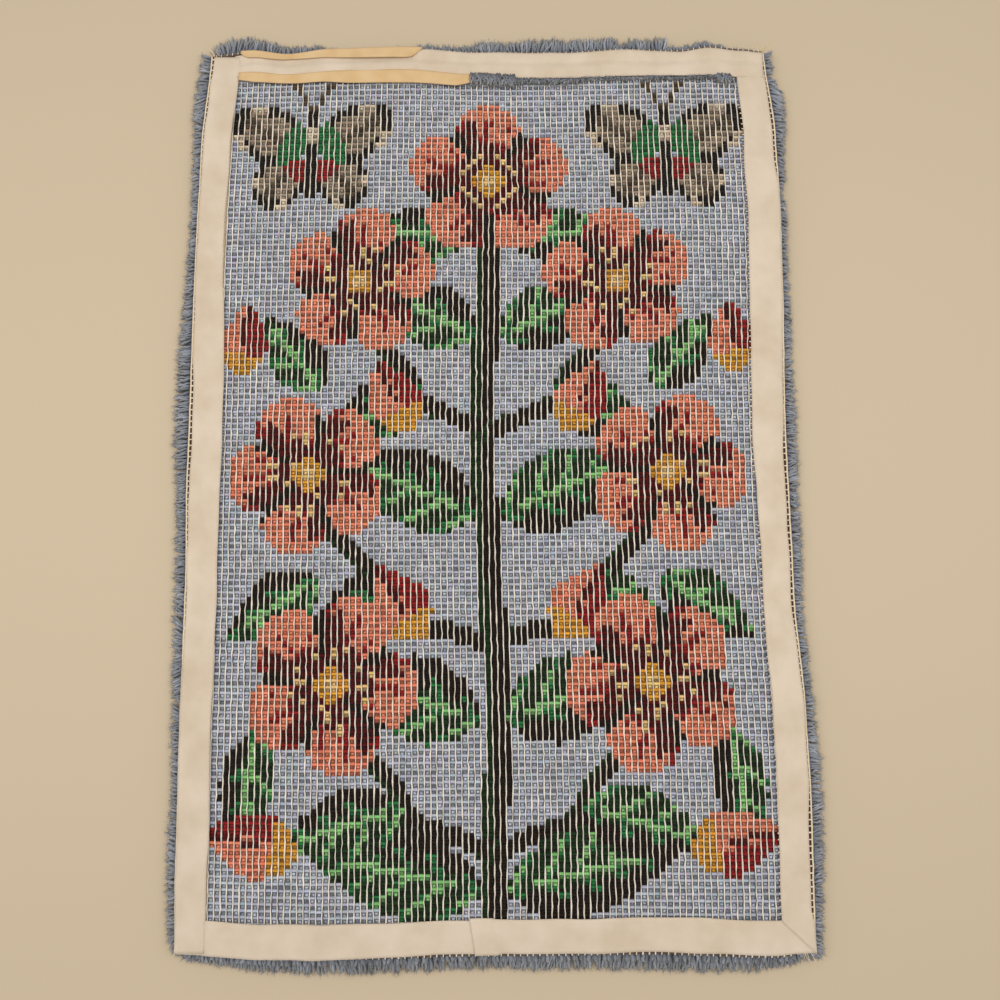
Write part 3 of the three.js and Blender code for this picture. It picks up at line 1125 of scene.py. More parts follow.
@dataclass(frozen=True)
class Finishes:
    """The materials that the pieces are dressed in."""

    yarn: bpy.types.Material
    thread: bpy.types.Material
    tape: bpy.types.Material
    strip: bpy.types.Material

    @classmethod
    def make(cls) -> Finishes:
        """Builds the shared effects and every finish.

        Returns:
            The finishes.
        """
        fibres, stains, weave = Effects.fibres(), Effects.stains(), Effects.weave()
        yarn = YarnFinish("rug_yarn", fibre_scale=650, flecks=0.55, bump=0.5, sheen=0.25)
        thread = YarnFinish("canvas_thread", fibre_scale=900, flecks=0.12, bump=0.3, sheen=0.1)
        tape = ClothFinish(
            "cotton_tape", clean=(233, 218, 200), aged=(217, 200, 177), stain_scale=26,
            threads=1500, bump=0.5, roughness=0.9,
        )
        strip = ClothFinish(
            "tan_strip", clean=(221, 192, 148), aged=(211, 176, 127), stain_scale=45,
            threads=1100, bump=0.15, roughness=0.6,
        )
        return cls(
            yarn=yarn.make(fibres),
            thread=thread.make(fibres),
            tape=tape.make(stains, weave),
            strip=strip.make(stains, weave),
        )


@dataclass
class Piece:
    """What every sub-assembly works from."""

    lay: Lay
    levels: Levels
    finishes: Finishes
    rng: np.random.Generator

    def seat(self, made: bpy.types.Object, slot: Slot, *nodes: str) -> bpy.types.Object:
        """Rides a piece on the hanging and lets it stand for CAD nodes, which it hides.

        Args:
            made: The piece.
            slot: The record's material slot; not used.
            nodes: The CAD nodes that it replaces.

        Returns:
            The same piece.
        """
        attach(made, BODY)
        if nodes:
            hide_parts(*nodes)
        made.data.calc_loop_triangles()
        LOG.info("%s: %d triangles", made.name, len(made.data.loop_triangles))
        return made

    def draw(self, low: float, high: float, *shape: int) -> np.ndarray:
        """Even random numbers between two values."""
        return self.rng.uniform(low, high, shape)

    def spread(self, width: float, *shape: int) -> np.ndarray:
        """Random numbers round 0, most of them less than a width away."""
        return self.rng.normal(0, width, shape)


@dataclass(frozen=True)
class RungRow:
    """Short threads across an edge, in millimetres and shares.

    It has the insets of their ends, half their width and the stretch of the edge where they show.
    """

    side: Side
    outer: float
    inner: float
    half: float
    low: float
    high: float


@dataclass(frozen=True)
class KnotShape:
    """The back of a knot, in millimetres from its cell's middle: two strands and a tuft in the hole.

    Its tones are the shares of the yarn's colour in its low and its high places, as painted shade: the
    strands' low places and the tuft deep in the hole are darkened.
    """

    strand_columns: tuple[float, ...] = (-2.8, -1.4, 0, 1.4, 2.8)
    strand_drop: tuple[float, ...] = (-0.8, 0, -0.35, 0, -0.8)
    bar_rows: tuple[float, ...] = (3.5, 1.9, 0.35)
    bar_drop: tuple[float, ...] = (-1.5, 0, -1.5)
    bottom: float = -1.9
    low_below: float = -0.9
    # Painted shade: strand points below low_below take the first, darker share of the yarn's colour.
    strand_shades: tuple[float, float] = (0.62, 1.0)
    tuft_middle: float = -1.5
    tuft_base: tuple[float, float] = (1.8, 1.45)
    tuft_top: tuple[float, float] = (1.15, 0.85)
    tuft_height: float = -0.75
    # Painted shade: the tuft down in the hole is darkened, most at its base.
    hole_tuft_shades: tuple[float, float] = (0.22, 0.72)
    square: tuple[tuple[int, int], ...] = ((-1, -1), (1, -1), (1, 1), (-1, 1))

    def bar(self) -> np.ndarray:
        """The points of the bar over the weft.

        Returns:
            The points, row by row.
        """
        x, y = np.meshgrid(self.strand_columns, self.bar_rows)
        drop = np.add.outer(self.bar_drop, self.strand_drop)
        return np.stack([x, y, np.maximum(drop, self.bottom)], axis=-1).reshape(-1, 3)

    def points(self) -> np.ndarray:
        """All points in metres: the bar's, the tuft's base and the tuft's top.

        Returns:
            The points, in rows of three.
        """
        square = np.array(self.square, float)
        corners = len(square)
        base = np.column_stack([square * self.tuft_base, np.full(corners, self.bottom)])
        top = np.column_stack([square * self.tuft_top, np.full(corners, self.tuft_height)])
        tuft = np.concatenate([base, top]) + np.array([0, self.tuft_middle, 0])
        return np.concatenate([self.bar(), tuft]) * MM

    def faces(self) -> np.ndarray:
        """The faces, as rows of four points.

        Returns:
            The bar's faces, the tuft's sides and its top.
        """
        wide, high = len(self.strand_columns), len(self.bar_rows)
        grid = np.arange(wide * high).reshape(high, wide)
        bar = np.stack([grid[:-1, :-1], grid[1:, :-1], grid[1:, 1:], grid[:-1, 1:]], axis=-1)
        base = wide * high + np.arange(len(self.square))
        top = base + len(self.square)
        sides = np.stack([base, np.roll(base, -1), np.roll(top, -1), top], axis=-1)
        return np.concatenate([bar.reshape(-1, 4), sides, top[None]])

    def tones(self) -> np.ndarray:
        """The share of the yarn's colour at each point: painted shade in the strands' low places and on the
        tuft in the hole.
        """
        bar = np.where(self.bar()[:, 2] < self.low_below, *self.strand_shades)
        return np.concatenate([bar, np.repeat(self.hole_tuft_shades, len(self.square))])

    def in_hole(self) -> np.ndarray:
        """Which points are the tuft's top."""
        count = len(self.points())
        return np.arange(count) >= count - len(self.square)


@dataclass
class KnottedCanvas(Piece):
    """The canvas with the backs of its knots. Sizes are in millimetres, spreads and tones in shares."""

    chart: Chart
    shape: KnotShape = KnotShape()
    bands: int = 3
    hem: float = 37
    hem_cells: int = 5
    floor_depth: float = 1.7
    # Painted shade: the canvas seen in the holes takes this share of its cell's yarn colour.
    hole_floor_shade: float = 0.25
    hem_drop: float = 0.3
    fold_drop: float = 1.2
    thickness: float = 1.2
    place_spread: tuple[float, float, float] = (0.18, 0.2, 0.12)
    size_spread: tuple[float, float, float] = (0.03, 0.06, 0.05)
    shade_spread: float = 0.09
    hue_spread: float = 0.035
    dark_holes: float = 0.3
    dark_hole_tone: float = 0.5
    hole_spread: float = 0.2
    fleck_spread: float = 0.35
    hole_tones: tuple[float, float] = (0.3, 1.5)
    askew_spread: float = 0.4

    @property
    def flat(self) -> tuple[float, float]:
        """The canvas's width and height in metres before its hem was turned."""
        both_hems = 2 * (self.hem * MM)
        return self.lay.width + both_hems, self.lay.height + both_hems

    def ground(self, open_edges: Sequence[RungRow]) -> bpy.types.Object:
        """The canvas sheet under the knots, in the shaded colours of its cells.

        Args:
            open_edges: Where the hem's shaded holes show beside a tape.

        Returns:
            The sheet.
        """
        lay, levels = self.lay, self.levels
        floor = levels.field_top - self.floor_depth * MM

        def place(u: np.ndarray, v: np.ndarray) -> np.ndarray:
            """Lays the sheet out, raised along the hem.

            Args:
                u: Shares across the grid.
                v: Shares up the grid.

            Returns:
                The top's points.
            """
            x = np.round(u * lay.columns)
            y = np.round(v * lay.rows)
            inset = np.minimum(np.minimum(x, lay.columns - x), np.minimum(y, lay.rows - y))
            height = np.where(inset < self.hem_cells, levels.hem_top - self.hem_drop * MM, floor)
            height = np.where(inset == 0, levels.hem_top - self.fold_drop * MM, height)
            return np.column_stack([lay.at(u, v), height])

        cells, thick = (lay.columns, lay.rows), self.thickness * MM
        sheet = cloth_sheet("canvas_ground", cells, (1, 1), place, thick, self.finishes.yarn)
        mesh = sheet.data
        uv = np.zeros(len(mesh.loops) * 2)
        mesh.uv_layers[UV_MAP].data.foreach_get("uv", uv)
        starts = np.zeros(len(mesh.polygons), int)
        mesh.polygons.foreach_get("loop_start", starts)
        sizes = np.diff(np.append(starts, len(mesh.loops)))
        middle = np.add.reduceat(uv.reshape(-1, 2), starts, axis=0) / sizes[:, None]
        column = np.clip((middle[:, 0] * lay.columns).astype(int), 0, lay.columns - 1)
        row = np.clip((middle[:, 1] * lay.rows).astype(int), 0, lay.rows - 1)
        # Painted shade: each cell's yarn colour is darkened where it shows down in the holes.
        colours = self.chart.colours()[row, column] * self.hole_floor_shade
        from_side = {
            Side.LEFT: column, Side.RIGHT: lay.columns - 1 - column,
            Side.BOTTOM: row, Side.TOP: lay.rows - 1 - row,
        }
        inset = np.minimum.reduce(list(from_side.values()))
        colours[inset < self.hem_cells] = Thread.COVERED.tone
        for edge in open_edges:
            share = row / lay.rows if edge.side.upright else column / lay.columns
            shown = (from_side[edge.side] == 0) & (share >= edge.low) & (share <= edge.high)
            colours[shown] = Thread.SHADE.tone
        paint(mesh, np.repeat(colours, sizes, axis=0), Domain.CORNER)
        return self.seat(sheet, Slot.CANVAS, "canvas")

    def hole_light(self, count: int) -> np.ndarray:
        """How bright each knot's tuft is, point by point.

        Args:
            count: How many knots there are.

        Returns:
            Shares of the tuft's own tone.
        """
        dark = self.draw(0, 1, count, 1) < self.dark_holes
        light = np.where(dark, self.dark_hole_tone, 1 + self.spread(self.hole_spread, count, 1))
        light = light * (1 + self.spread(self.fleck_spread, count, len(self.shape.points())))
        return np.where(self.shape.in_hole(), light.clip(*self.hole_tones), 1)

    def band(self, name: str, first: int, last: int) -> bpy.types.Object:
        """The backs of the knots in some rows: two strands over the weft and a tuft in the hole below.

        Args:
            name: The piece's name.
            first: The first row.
            last: The row after the last one.

        Returns:
            The knots, joined.
        """
        lay, shape = self.lay, self.shape
        template, in_hole = shape.points(), shape.in_hole()
        rows, columns = np.mgrid[first:last, lay.first_column:lay.columns - lay.first_column]
        rows, columns = rows.ravel(), columns.ravel()
        count = len(rows)
        spot = lay.at((columns + 0.5) / lay.columns, (rows + 0.5) / lay.rows)
        centre = np.column_stack([spot, np.full(count, self.levels.field_top)])
        centre += self.spread(1, count, 3) * np.array(self.place_spread) * MM
        scale = 1 + self.spread(1, count, 1, 3) * np.array(self.size_spread)
        points = centre[:, None] + template * scale
        uneven = self.spread(self.shade_spread, count, 1) + self.spread(self.hue_spread, count, 3)
        tone = self.chart.colours()[rows, columns] * (1 + uneven)
        light = self.hole_light(count)
        askew = self.spread(self.askew_spread, count, 1, 2) * MM
        points[..., :2] += np.where(in_hole[:, None], askew, 0)
        # Painted shade: each point takes the knot's colour times its shade share, darker in the low places
        # and in the hole.
        tint = np.clip(tone[:, None] * (shape.tones() * light)[..., None], 0, 1)
        faces = shape.faces() + np.arange(count)[:, None, None] * len(template)
        joined = Joined()
        joined.add(points.reshape(-1, 3), [faces.reshape(-1, 4)], tint.reshape(-1, 3))
        return self.seat(joined.build(name, self.finishes.yarn), Slot.CANVAS)

    def knots(self) -> list[bpy.types.Object]:
        """The knots in bands, from the bottom up."""
        edges = np.linspace(self.lay.first_row, self.lay.last_row, self.bands + 1).astype(int)
        return [self.band(f"knots_{k + 1}", edges[k], edges[k + 1]) for k in range(self.bands)]


@dataclass
class WarpThreads(Piece):
    """The cream canvas threads between the columns of knots, in millimetres and shares."""

    sides: int = 3
    half_width: float = 0.9
    width_spread: float = 0.2
    width_limit: float = 0.45
    half_height: float = 0.62
    sink: float = 0.1
    wander: float = 0.3
    shade_spread: float = 0.08
    dark_share: float = 0.16
    dark_tone: float = 0.76

    def build(self) -> bpy.types.Object:
        """Makes the threads.

        Returns:
            The threads, joined.
        """
        lay = self.lay
        lines = np.arange(lay.first_column, lay.columns - lay.first_column + 1)
        steps = np.arange(lay.first_row, lay.last_row + 1)
        shape = (len(lines), len(steps))
        across = np.broadcast_to((lines / lay.columns)[:, None], shape)
        up = np.broadcast_to(steps / lay.rows, shape)
        paths = raised(lay.at(across, up), np.full(shape, self.levels.field_top - self.sink * MM))
        paths[..., 0] += self.spread(self.wander, *shape) * MM
        uneven = self.spread(self.width_spread, *shape).clip(-self.width_limit, self.width_limit)
        points, faces = tubes(paths, (self.half_width + uneven) * MM, self.half_height * MM, self.sides)
        tone = 1 + self.spread(self.shade_spread, *shape, 1)
        tone *= np.where(self.draw(0, 1, *shape, 1) < self.dark_share, self.dark_tone, 1)
        joined = Joined()
        joined.add(points, faces, ring_colours(Thread.WARP.tone * tone, self.sides))
        return self.seat(joined.build("warp_threads", self.finishes.thread), Slot.CANVAS)


@dataclass
class EdgeThreads(Piece):
    """Canvas threads that show outside the tapes: the edge cords, their rungs and the loose ends.

    Sizes are in millimetres, spreads and ages in shares. A corner of loose ends has its place and its lean.
    """

    open_edges: tuple[RungRow, ...] = (
        RungRow(Side.LEFT, 0.2, 4.6, 0.8, 0.3, 1),
        RungRow(Side.RIGHT, 0.2, 4.6, 0.8, 0.035, 1),
        RungRow(Side.BOTTOM, -0.9, 4.2, 0.75, 0.235, 0.965),
        RungRow(Side.TOP, -0.4, 3.4, 0.5, 0, 1),
    )
    inner_rungs: tuple[RungRow, ...] = (
        RungRow(Side.RIGHT, 34.4, 37.2, 0.8, 0.04, 0.44),
        RungRow(Side.RIGHT, 36.5, 39.7, 0.8, 0.5, 0.93),
    )
    sides: int = 4
    cord_inset: float = 0.7
    cord_wander: float = 0.12
    cord_rise: float = 0.1
    cord_half_width: float = 1.0
    half_height: float = 0.5
    rung_wander: float = 0.25
    rung_steps: int = 4
    rung_rise: float = 0.15
    rung_fall: float = -1.6
    rung_falls_below: float = 0.3
    rung_spread: float = 0.12
    rung_age: tuple[float, float] = (0, 0.6)
    loose_corners: tuple[tuple[Side, float, float], ...] = (
        (Side.BOTTOM, 668, 0.4), (Side.TOP, 672, 0.5), (Side.TOP, 6, -0.9),
    )
    loose_count: int = 5
    loose_steps: int = 7
    loose_place: float = 6
    loose_length: tuple[float, float] = (7, 15)
    loose_swing: float = 0.35
    loose_curl: float = 1.6
    loose_inset: float = 2.5
    loose_rise: float = 0.8
    loose_fall: tuple[float, float] = (2, 5)
    loose_half: float = 0.32
    loose_age: tuple[float, float] = (0.3, 1)

    def build(self) -> bpy.types.Object:
        """Makes the cords up both sides, the rungs and the loose ends.

        Returns:
            The threads, joined.
        """
        lay, joined = self.lay, Joined()
        for side in (Side.LEFT, Side.RIGHT):
            along = np.arange(lay.rows + 1) * lay.pitch
            inset = (self.cord_inset + self.spread(self.cord_wander, len(along))) * MM
            height = np.full(len(along), self.levels.hem_top + self.cord_rise * MM)
            path = np.column_stack([lay.from_edge(side, along, inset), height])
            points, faces = tubes(path[None], self.cord_half_width * MM, self.half_height * MM, self.sides)
            joined.add(points, faces, Thread.CORD.tone)
        for row in self.open_edges + self.inner_rungs:
            self.rungs(joined, row)
        for side, corner, lean in self.loose_corners:
            self.loose_ends(joined, side, corner, lean)
        return self.seat(joined.build("edge_threads", self.finishes.thread), Slot.CANVAS)

    def aged(self, paths: np.ndarray, age: tuple[float, float]) -> np.ndarray:
        """Colours of threads that have yellowed unevenly.

        Args:
            paths: The threads' paths.
            age: The least and the greatest share of yellow.

        Returns:
            A colour for each vertex of their tubes.
        """
        share = self.draw(*age, len(paths), 1, 1)
        tone = Thread.CANVAS.tone * (1 - share) + Thread.YELLOWED.tone * share
        return ring_colours(np.broadcast_to(tone, paths.shape), self.sides)

    def rungs(self, joined: Joined, row: RungRow) -> None:
        """Adds short threads across an edge, one at each line of the canvas.

        Args:
            joined: What they are added to.
            row: Where they are and how wide they are.
        """
        holes = round(self.lay.length(row.side) / self.lay.pitch)
        lines = np.arange(1, holes)
        lines = lines[(lines >= row.low * holes) & (lines <= row.high * holes)]
        count = len(lines)
        along = lines * self.lay.pitch + self.spread(self.rung_wander, count) * MM
        inset = np.linspace(row.outer, row.inner, self.rung_steps) * MM
        place = self.lay.from_edge(row.side, along[:, None], inset[None])
        fall = np.where(inset < self.rung_falls_below * MM, self.rung_fall * MM, 0)
        height = np.broadcast_to(self.levels.hem_top + self.rung_rise * MM + fall, place.shape[:2])
        paths = raised(place, height)
        wide = row.half * MM * (1 + self.spread(self.rung_spread, count, 1))
        points, faces = tubes(paths, wide, self.half_height * MM, self.sides)
        joined.add(points, faces, self.aged(paths, self.rung_age))

    def loose_ends(self, joined: Joined, side: Side, corner: float, lean: float) -> None:
        """Adds the loose ends of canvas threads at a corner.

        Args:
            joined: What they are added to.
            side: The edge that they stick out from.
            corner: Their place along it.
            lean: How far they lean along it, for each millimetre of their length.
        """
        count, share = self.loose_count, np.linspace(0, 1, self.loose_steps)
        along = corner * MM + self.draw(-self.loose_place, self.loose_place, count) * MM
        long = self.draw(*self.loose_length, count)[:, None] * MM
        swing = (lean + self.spread(self.loose_swing, count))[:, None] * long * share
        curl = self.spread(self.loose_curl, count, 1) * MM * np.sin(math.pi * share)
        inset = self.loose_inset * MM - long * share
        place = self.lay.from_edge(side, along[:, None] + swing + curl, inset)
        fall = self.draw(*self.loose_fall, count)[:, None] * share**2
        paths = raised(place, self.levels.hem_top + (self.loose_rise - fall) * MM)
        colours = self.aged(paths, self.loose_age)
        points, faces = tubes(paths, self.loose_half * MM, self.loose_half * MM, self.sides)
        joined.add(points, faces, colours)


@dataclass(frozen=True)
class LegLayer:
    """A leg in a tuft: its share of the reach, heights and place in millimetres, fan and bulk."""

    part: float
    root: float
    tip: float
    beside: float
    fan: float
    bulk: float = 1


@dataclass
class YarnLegs(Piece):
    """Cut legs of yarn with rounded ends and stray hairs.

    Bulks and tints belong to the shares along a leg; the tints paint shade on the roots and turn lighter
    and warmer towards the tips. Hair sizes are in millimetres, spreads in shares.
    """

    shares: tuple[float, ...] = (0, 0.35, 0.7, 0.92, 1)
    bulks: tuple[float, ...] = (0.85, 1, 1.15, 0.95, 0.3)
    # Painted shade at the root, rising to a lighter, warmer tip.
    root_shade_tints: tuple[tuple[float, float, float], ...] = (
        (0.32, 0.32, 0.34), (0.8, 0.82, 0.86), (1.04, 1.04, 1.04), (1.26, 1.18, 1.08), (1.45, 1.28, 1.05),
    )
    bulk_spread: float = 0.1
    tint_spread: float = 0.08
    sides: int = 3
    hairs: int = 18
    hair_half: float = 0.14
    hair_length: tuple[float, float] = (1.6, 5.2)
    hair_chances: tuple[float, ...] = (0.15, 0.3, 0.3, 0.25)
    hair_between: tuple[float, float] = (0.2, 1)
    hair_ahead: float = 0.8
    hair_stray: float = 0.65
    hair_start: float = 0.7
    hair_foot: tuple[tuple[float, float, float], ...] = ((1, 0, 0), (-0.5, 0.87, 0), (-0.5, -0.87, 0.4))
    hair_faces: tuple[tuple[int, int, int], ...] = ((0, 1, 3), (1, 2, 3), (2, 0, 3), (2, 1, 0))
    hair_tint: tuple[float, float, float] = (1.16, 1.05, 0.9)
    hair_tones: tuple[float, float] = (0.7, 1.5)
    lowest: float = 0.3

    def spin(self, joined: Joined, paths: np.ndarray, colours: np.ndarray, thick: float) -> None:
        """Adds soft legs of yarn with rounded cut ends and stray hairs.

        Args:
            joined: What they are added to.
            paths: A path for each leg, from root to tip.
            colours: A colour for each leg.
            thick: The legs' radius in metres.
        """
        count, steps, _ = paths.shape
        radius = thick * np.array(self.bulks) * (1 + self.spread(self.bulk_spread, count, steps))
        points, faces = tubes(paths, radius, radius, self.sides)
        uneven = self.spread(self.tint_spread, count, steps, 1)
        # Painted shade: each leg is darkened towards its root and lightened towards its tip.
        tone = colours[:, None] * np.array(self.root_shade_tints) * (1 + uneven)
        joined.add(points, faces, np.clip(ring_colours(tone, self.sides), 0, 1))
        self.fuzz(joined, paths, colours, thick)

    def fuzz(self, joined: Joined, paths: np.ndarray, colours: np.ndarray, thick: float) -> None:
        """Adds thin stray hairs all over legs of yarn but their roots.

        Args:
            joined: What they are added to.
            paths: The legs' paths.
            colours: A colour for each leg.
            thick: The legs' radius in metres.
        """
        count, steps, _ = paths.shape
        ahead = directions(paths)
        leg = np.repeat(np.arange(count), self.hairs)
        hairs = len(leg)
        at = self.rng.choice(np.arange(1, steps), hairs, p=self.hair_chances)
        between = self.draw(*self.hair_between, hairs, 1)
        start = paths[leg, at - 1] * (1 - between) + paths[leg, at] * between
        way = self.hair_ahead * ahead[leg, at] + self.spread(self.hair_stray, hairs, 3)
        way /= np.linalg.norm(way, axis=1, keepdims=True)
        root = start + way * self.hair_start * thick
        tip = root + way * self.draw(*self.hair_length, hairs, 1) * MM
        foot = [root + self.hair_half * MM * np.array(corner) for corner in self.hair_foot]
        points = np.stack([*foot, tip], axis=1)
        points[..., 2] = np.maximum(points[..., 2], self.lowest * MM)
        corners = points.shape[1]
        faces = np.array(self.hair_faces) + corners * np.arange(hairs)[:, None, None]
        tone = colours[leg] * np.array(self.hair_tint) * self.draw(*self.hair_tones, hairs, 1)
        shown = np.repeat(np.clip(tone, 0, 1), corners, axis=0)
        joined.add(points.reshape(-1, 3), [faces.reshape(-1, 3)], shown)


@dataclass
class RimLocks(YarnLegs):
    """The locks that splay out at the rim: a tuft of legs for each row or column of knots.

    Sizes are in millimetres, leans and sways in millimetres for each one of reach. A reach table has shares
    along its edge and how far the locks stick out there.
    """

    radius: float = 1.75
    tuft: tuple[LegLayer, ...] = (
        LegLayer(0.74, 15.0, 11.0, -1.3, -0.06),
        LegLayer(0.86, 14.6, 9.4, 1.3, 0.08),
        LegLayer(0.95, 13.2, 7.0, -0.2, -0.03),
        LegLayer(1.02, 11.0, 4.8, 2.3, 0.07),
        LegLayer(0.93, 12.2, 6.2, 3.4, 0.0, 1.1),
        LegLayer(1.0, 9.2, 3.6, -2.2, -0.08),
    )
    bottom_tuft: tuple[LegLayer, ...] = (
        LegLayer(0.42, 15.0, 13.0, 0.0, 0.0, 1.45),
        LegLayer(0.84, 14.0, 9.6, 1.6, 0.07),
        LegLayer(0.94, 13.0, 7.4, -1.6, -0.07, 1.05),
        LegLayer(1.02, 11.2, 5.0, 0.3, 0.04, 1.1),
        LegLayer(0.92, 12.2, 6.6, 2.9, 0.0, 1.15),
        LegLayer(1.0, 9.2, 3.8, -2.9, -0.05, 1.1),
    )
    side_sway: dict[Side, float] = field(default_factory=lambda: {
        Side.LEFT: 0.32, Side.RIGHT: 0.3, Side.BOTTOM: 0.14, Side.TOP: 0.24,
    })
    # Painted light and shade: the same rim yarn is lighter on the right and darker along the bottom, as the
    # light falls.
    painted_side_light: dict[Side, float] = field(default_factory=lambda: {
        Side.LEFT: 1, Side.RIGHT: 1.04, Side.BOTTOM: 0.92, Side.TOP: 1,
    })
    reach: dict[Side, tuple[tuple[float, ...], tuple[float, ...]]] = field(default_factory=lambda: {
        Side.LEFT: (
            (0, 0.02, 0.1, 0.17, 0.24, 0.253, 0.266, 0.37, 0.48, 0.54, 0.62, 0.73, 0.78, 0.88, 0.93,
             0.97, 1),
            (6, 14.5, 15.5, 12.5, 15.5, 9.5, 16.5, 18.5, 17.5, 24, 23, 17, 14, 15.5, 21, 22.5, 17.5),
        ),
        Side.RIGHT: (
            (0, 0.09, 0.17, 0.3, 0.44, 0.56, 0.63, 0.75, 0.815, 0.828, 0.841, 0.87, 0.916, 0.95,
             0.96, 0.97, 0.98, 1),
            (13, 18, 18.5, 13.5, 17, 18.2, 14.7, 11.7, 12.5, 6.5, 13, 14.5, 20, 24, 24, 10, 16, 15),
        ),
        Side.BOTTOM: (
            (0, 0.03, 0.05, 0.12, 0.25, 0.35, 0.5, 0.6, 0.7, 0.85, 0.9, 0.95, 1),
            (5, 13, 15, 18, 21, 20.5, 19.5, 21, 22.5, 23, 20.5, 16.5, 11),
        ),
        Side.TOP: (
            (0, 0.012, 0.018, 0.03, 0.05, 0.058, 0.1, 0.15, 0.185, 0.2, 0.22, 0.36, 0.378, 0.44, 0.475,
             0.49, 0.53, 0.56, 0.72, 0.738, 0.752, 0.8, 0.8125, 0.824, 0.85, 0.893, 0.915, 0.94, 1),
            (8, 14, 26, 31, 30, 25, 22, 19.5, 17, 13, 9, 9, 14, 14.5, 18,
             25, 22, 26, 25.5, 15, 23, 24, 28, 14, 12.5, 16, 11, 7.5, 6),
        ),
    })
    corner_fan: float = 34
    corner_lean: float = 0.8
    place_spread: float = 0.12
    reach_spread: tuple[float, float] = (0.95, 1.05)
    leg_spread: tuple[float, float] = (0.86, 1.08)
    root_depth: tuple[float, float] = (0.5, 3)
    sway_run: int = 4
    lean_spread: float = 0.1
    curl: float = 1.0
    kink: float = 0.6
    tip_spread: float = 0.8
    least_tip: float = 2.4
    droop: float = 1.6
    tuft_shade: float = 0.09
    leg_shade: float = 0.1

    def build(self, name: str, sides: Sequence[Side]) -> bpy.types.Object:
        """Makes the locks along some edges.

        Args:
            name: The piece's name.
            sides: The edges.

        Returns:
            The locks, joined.
        """
        joined = Joined()
        for side in sides:
            self.edge(joined, side)
        return self.seat(joined.build(name, self.finishes.yarn), Slot.YARN)

    def edge(self, joined: Joined, side: Side) -> None:
        """Adds the locks along one edge, layer by layer.

        Args:
            joined: What they are added to.
            side: The edge.
        """
        length, share = self.lay.length(side), np.array(self.shares)
        count = round(length / self.lay.pitch)
        middle = (np.arange(count) + 0.5 + self.spread(self.place_spread, count)) / count * length
        lively = self.draw(*self.reach_spread, count)
        fan = np.clip(1 - (length - middle) / (self.corner_fan * MM), 0, 1)
        fan -= np.clip(1 - middle / (self.corner_fan * MM), 0, 1)
        sway = self.spread(self.side_sway[side], count + self.sway_run - 1)
        sway = np.convolve(sway, np.full(self.sway_run, 1 / self.sway_run), "valid")
        # Painted light and shade: the rim's yarn is scaled by its side's light.
        tone = Thread.RIM.tone * self.painted_side_light[side] * (1 + self.spread(self.tuft_shade, count, 1))
        full = smooth_table(*self.reach[side], middle / length) * MM
        for leg in self.bottom_tuft if side is Side.BOTTOM else self.tuft:
            along = np.clip(middle + leg.beside * MM, 0, length)
            out = full * leg.part * lively * self.draw(*self.leg_spread, count)
            root = self.draw(*self.root_depth, count) * MM
            lean = self.corner_lean * fan + sway + leg.fan + self.spread(self.lean_spread, count)
            reach = -root[:, None] + (out + root)[:, None] * share
            shift = lean[:, None] * np.maximum(reach, 0)
            shift += self.spread(self.curl, count, 1) * MM * np.sin(math.pi * share)
            shift += self.spread(self.kink, count, 1) * MM * np.sin(2 * math.pi * share)
            place = self.lay.from_edge(side, along[:, None] + shift, -reach)
            tip = np.maximum(leg.tip + self.spread(self.tip_spread, count), self.least_tip) * MM
            high = leg.root * MM + (tip - leg.root * MM)[:, None] * share**self.droop
            shown = tone * (1 + self.spread(self.leg_shade, count, 1))
            self.spin(joined, raised(place, high), shown, self.radius * MM * leg.bulk)


@dataclass(frozen=True)
class HemRow:
    """Tufts along part of the top hem, in millimetres.

    It has where they start and end, how many come out of each hole, how far from the tape's edge they
    start, how far they reach and how high they rise.
    """

    start: float
    end: float
    each: float
    offset: float
    reach: float
    crest: float


@dataclass
class HemTufts(YarnLegs):
    """Pile of the turned hem that comes out from under the top tape, in millimetres and shares."""

    radius: float = 1.05
    rows: tuple[HemRow, ...] = (
        HemRow(317, 372, 9, -3.5, 15, 2.4),
        HemRow(370, 450, 7, 0, 7, 1.0),
        HemRow(450, 618, 4, 0, 4, 0.5),
        HemRow(616, 632, 9, -2, 11, 2.0),
    )
    # Painted shade: the hem's tufts take the rim's yarn darkened to this share.
    tone: float = 0.85
    shade_spread: float = 0.2
    reach_spread: tuple[float, float] = (0.6, 1.1)
    swing: float = 0.4
    curl: float = 1.3
    edge_spread: float = 0.8
    crest_spread: tuple[float, float] = (0.4, 1)
    arch: tuple[float, float] = (0.2, 0.65)
    sag: float = 0.8
    sink: float = 0.6

    def build(self, tape: TapeCut) -> bpy.types.Object:
        """Makes the tufts.

        Args:
            tape: The top tape.

        Returns:
            The tufts, joined.
        """
        joined, share = Joined(), np.array(self.shares)
        arch = np.sin(math.pi * (self.arch[0] + self.arch[1] * share))
        for row in self.rows:
            count = int((row.end - row.start) * MM / self.lay.pitch * row.each)
            along = self.draw(row.start, row.end, count)
            edge = smooth_table(*tape.inner, (along - tape.start) / (tape.end - tape.start)) + row.offset
            long = self.draw(*self.reach_spread, count) * row.reach
            swing = self.spread(self.swing, count, 1) * long[:, None] * share
            curl = self.spread(self.curl, count, 1) * np.sin(2 * math.pi * share)
            first = edge + self.draw(-self.edge_spread, self.edge_spread, count)
            inset = first[:, None] + long[:, None] * share
            place = self.lay.from_edge(Side.TOP, (along[:, None] + swing + curl) * MM, inset * MM)
            rise = self.draw(*self.crest_spread, count)[:, None] * row.crest * arch
            high = self.levels.tape_top + (rise - self.sag * share - self.sink) * MM
            # Painted shade: a darkened copy of the rim's yarn.
            tone = self.tone * Thread.RIM.tone * (1 + self.spread(self.shade_spread, count, 1))
            self.spin(joined, raised(place, high), tone, self.radius * MM)
        return self.seat(joined.build("hem_tufts", self.finishes.yarn), Slot.YARN)


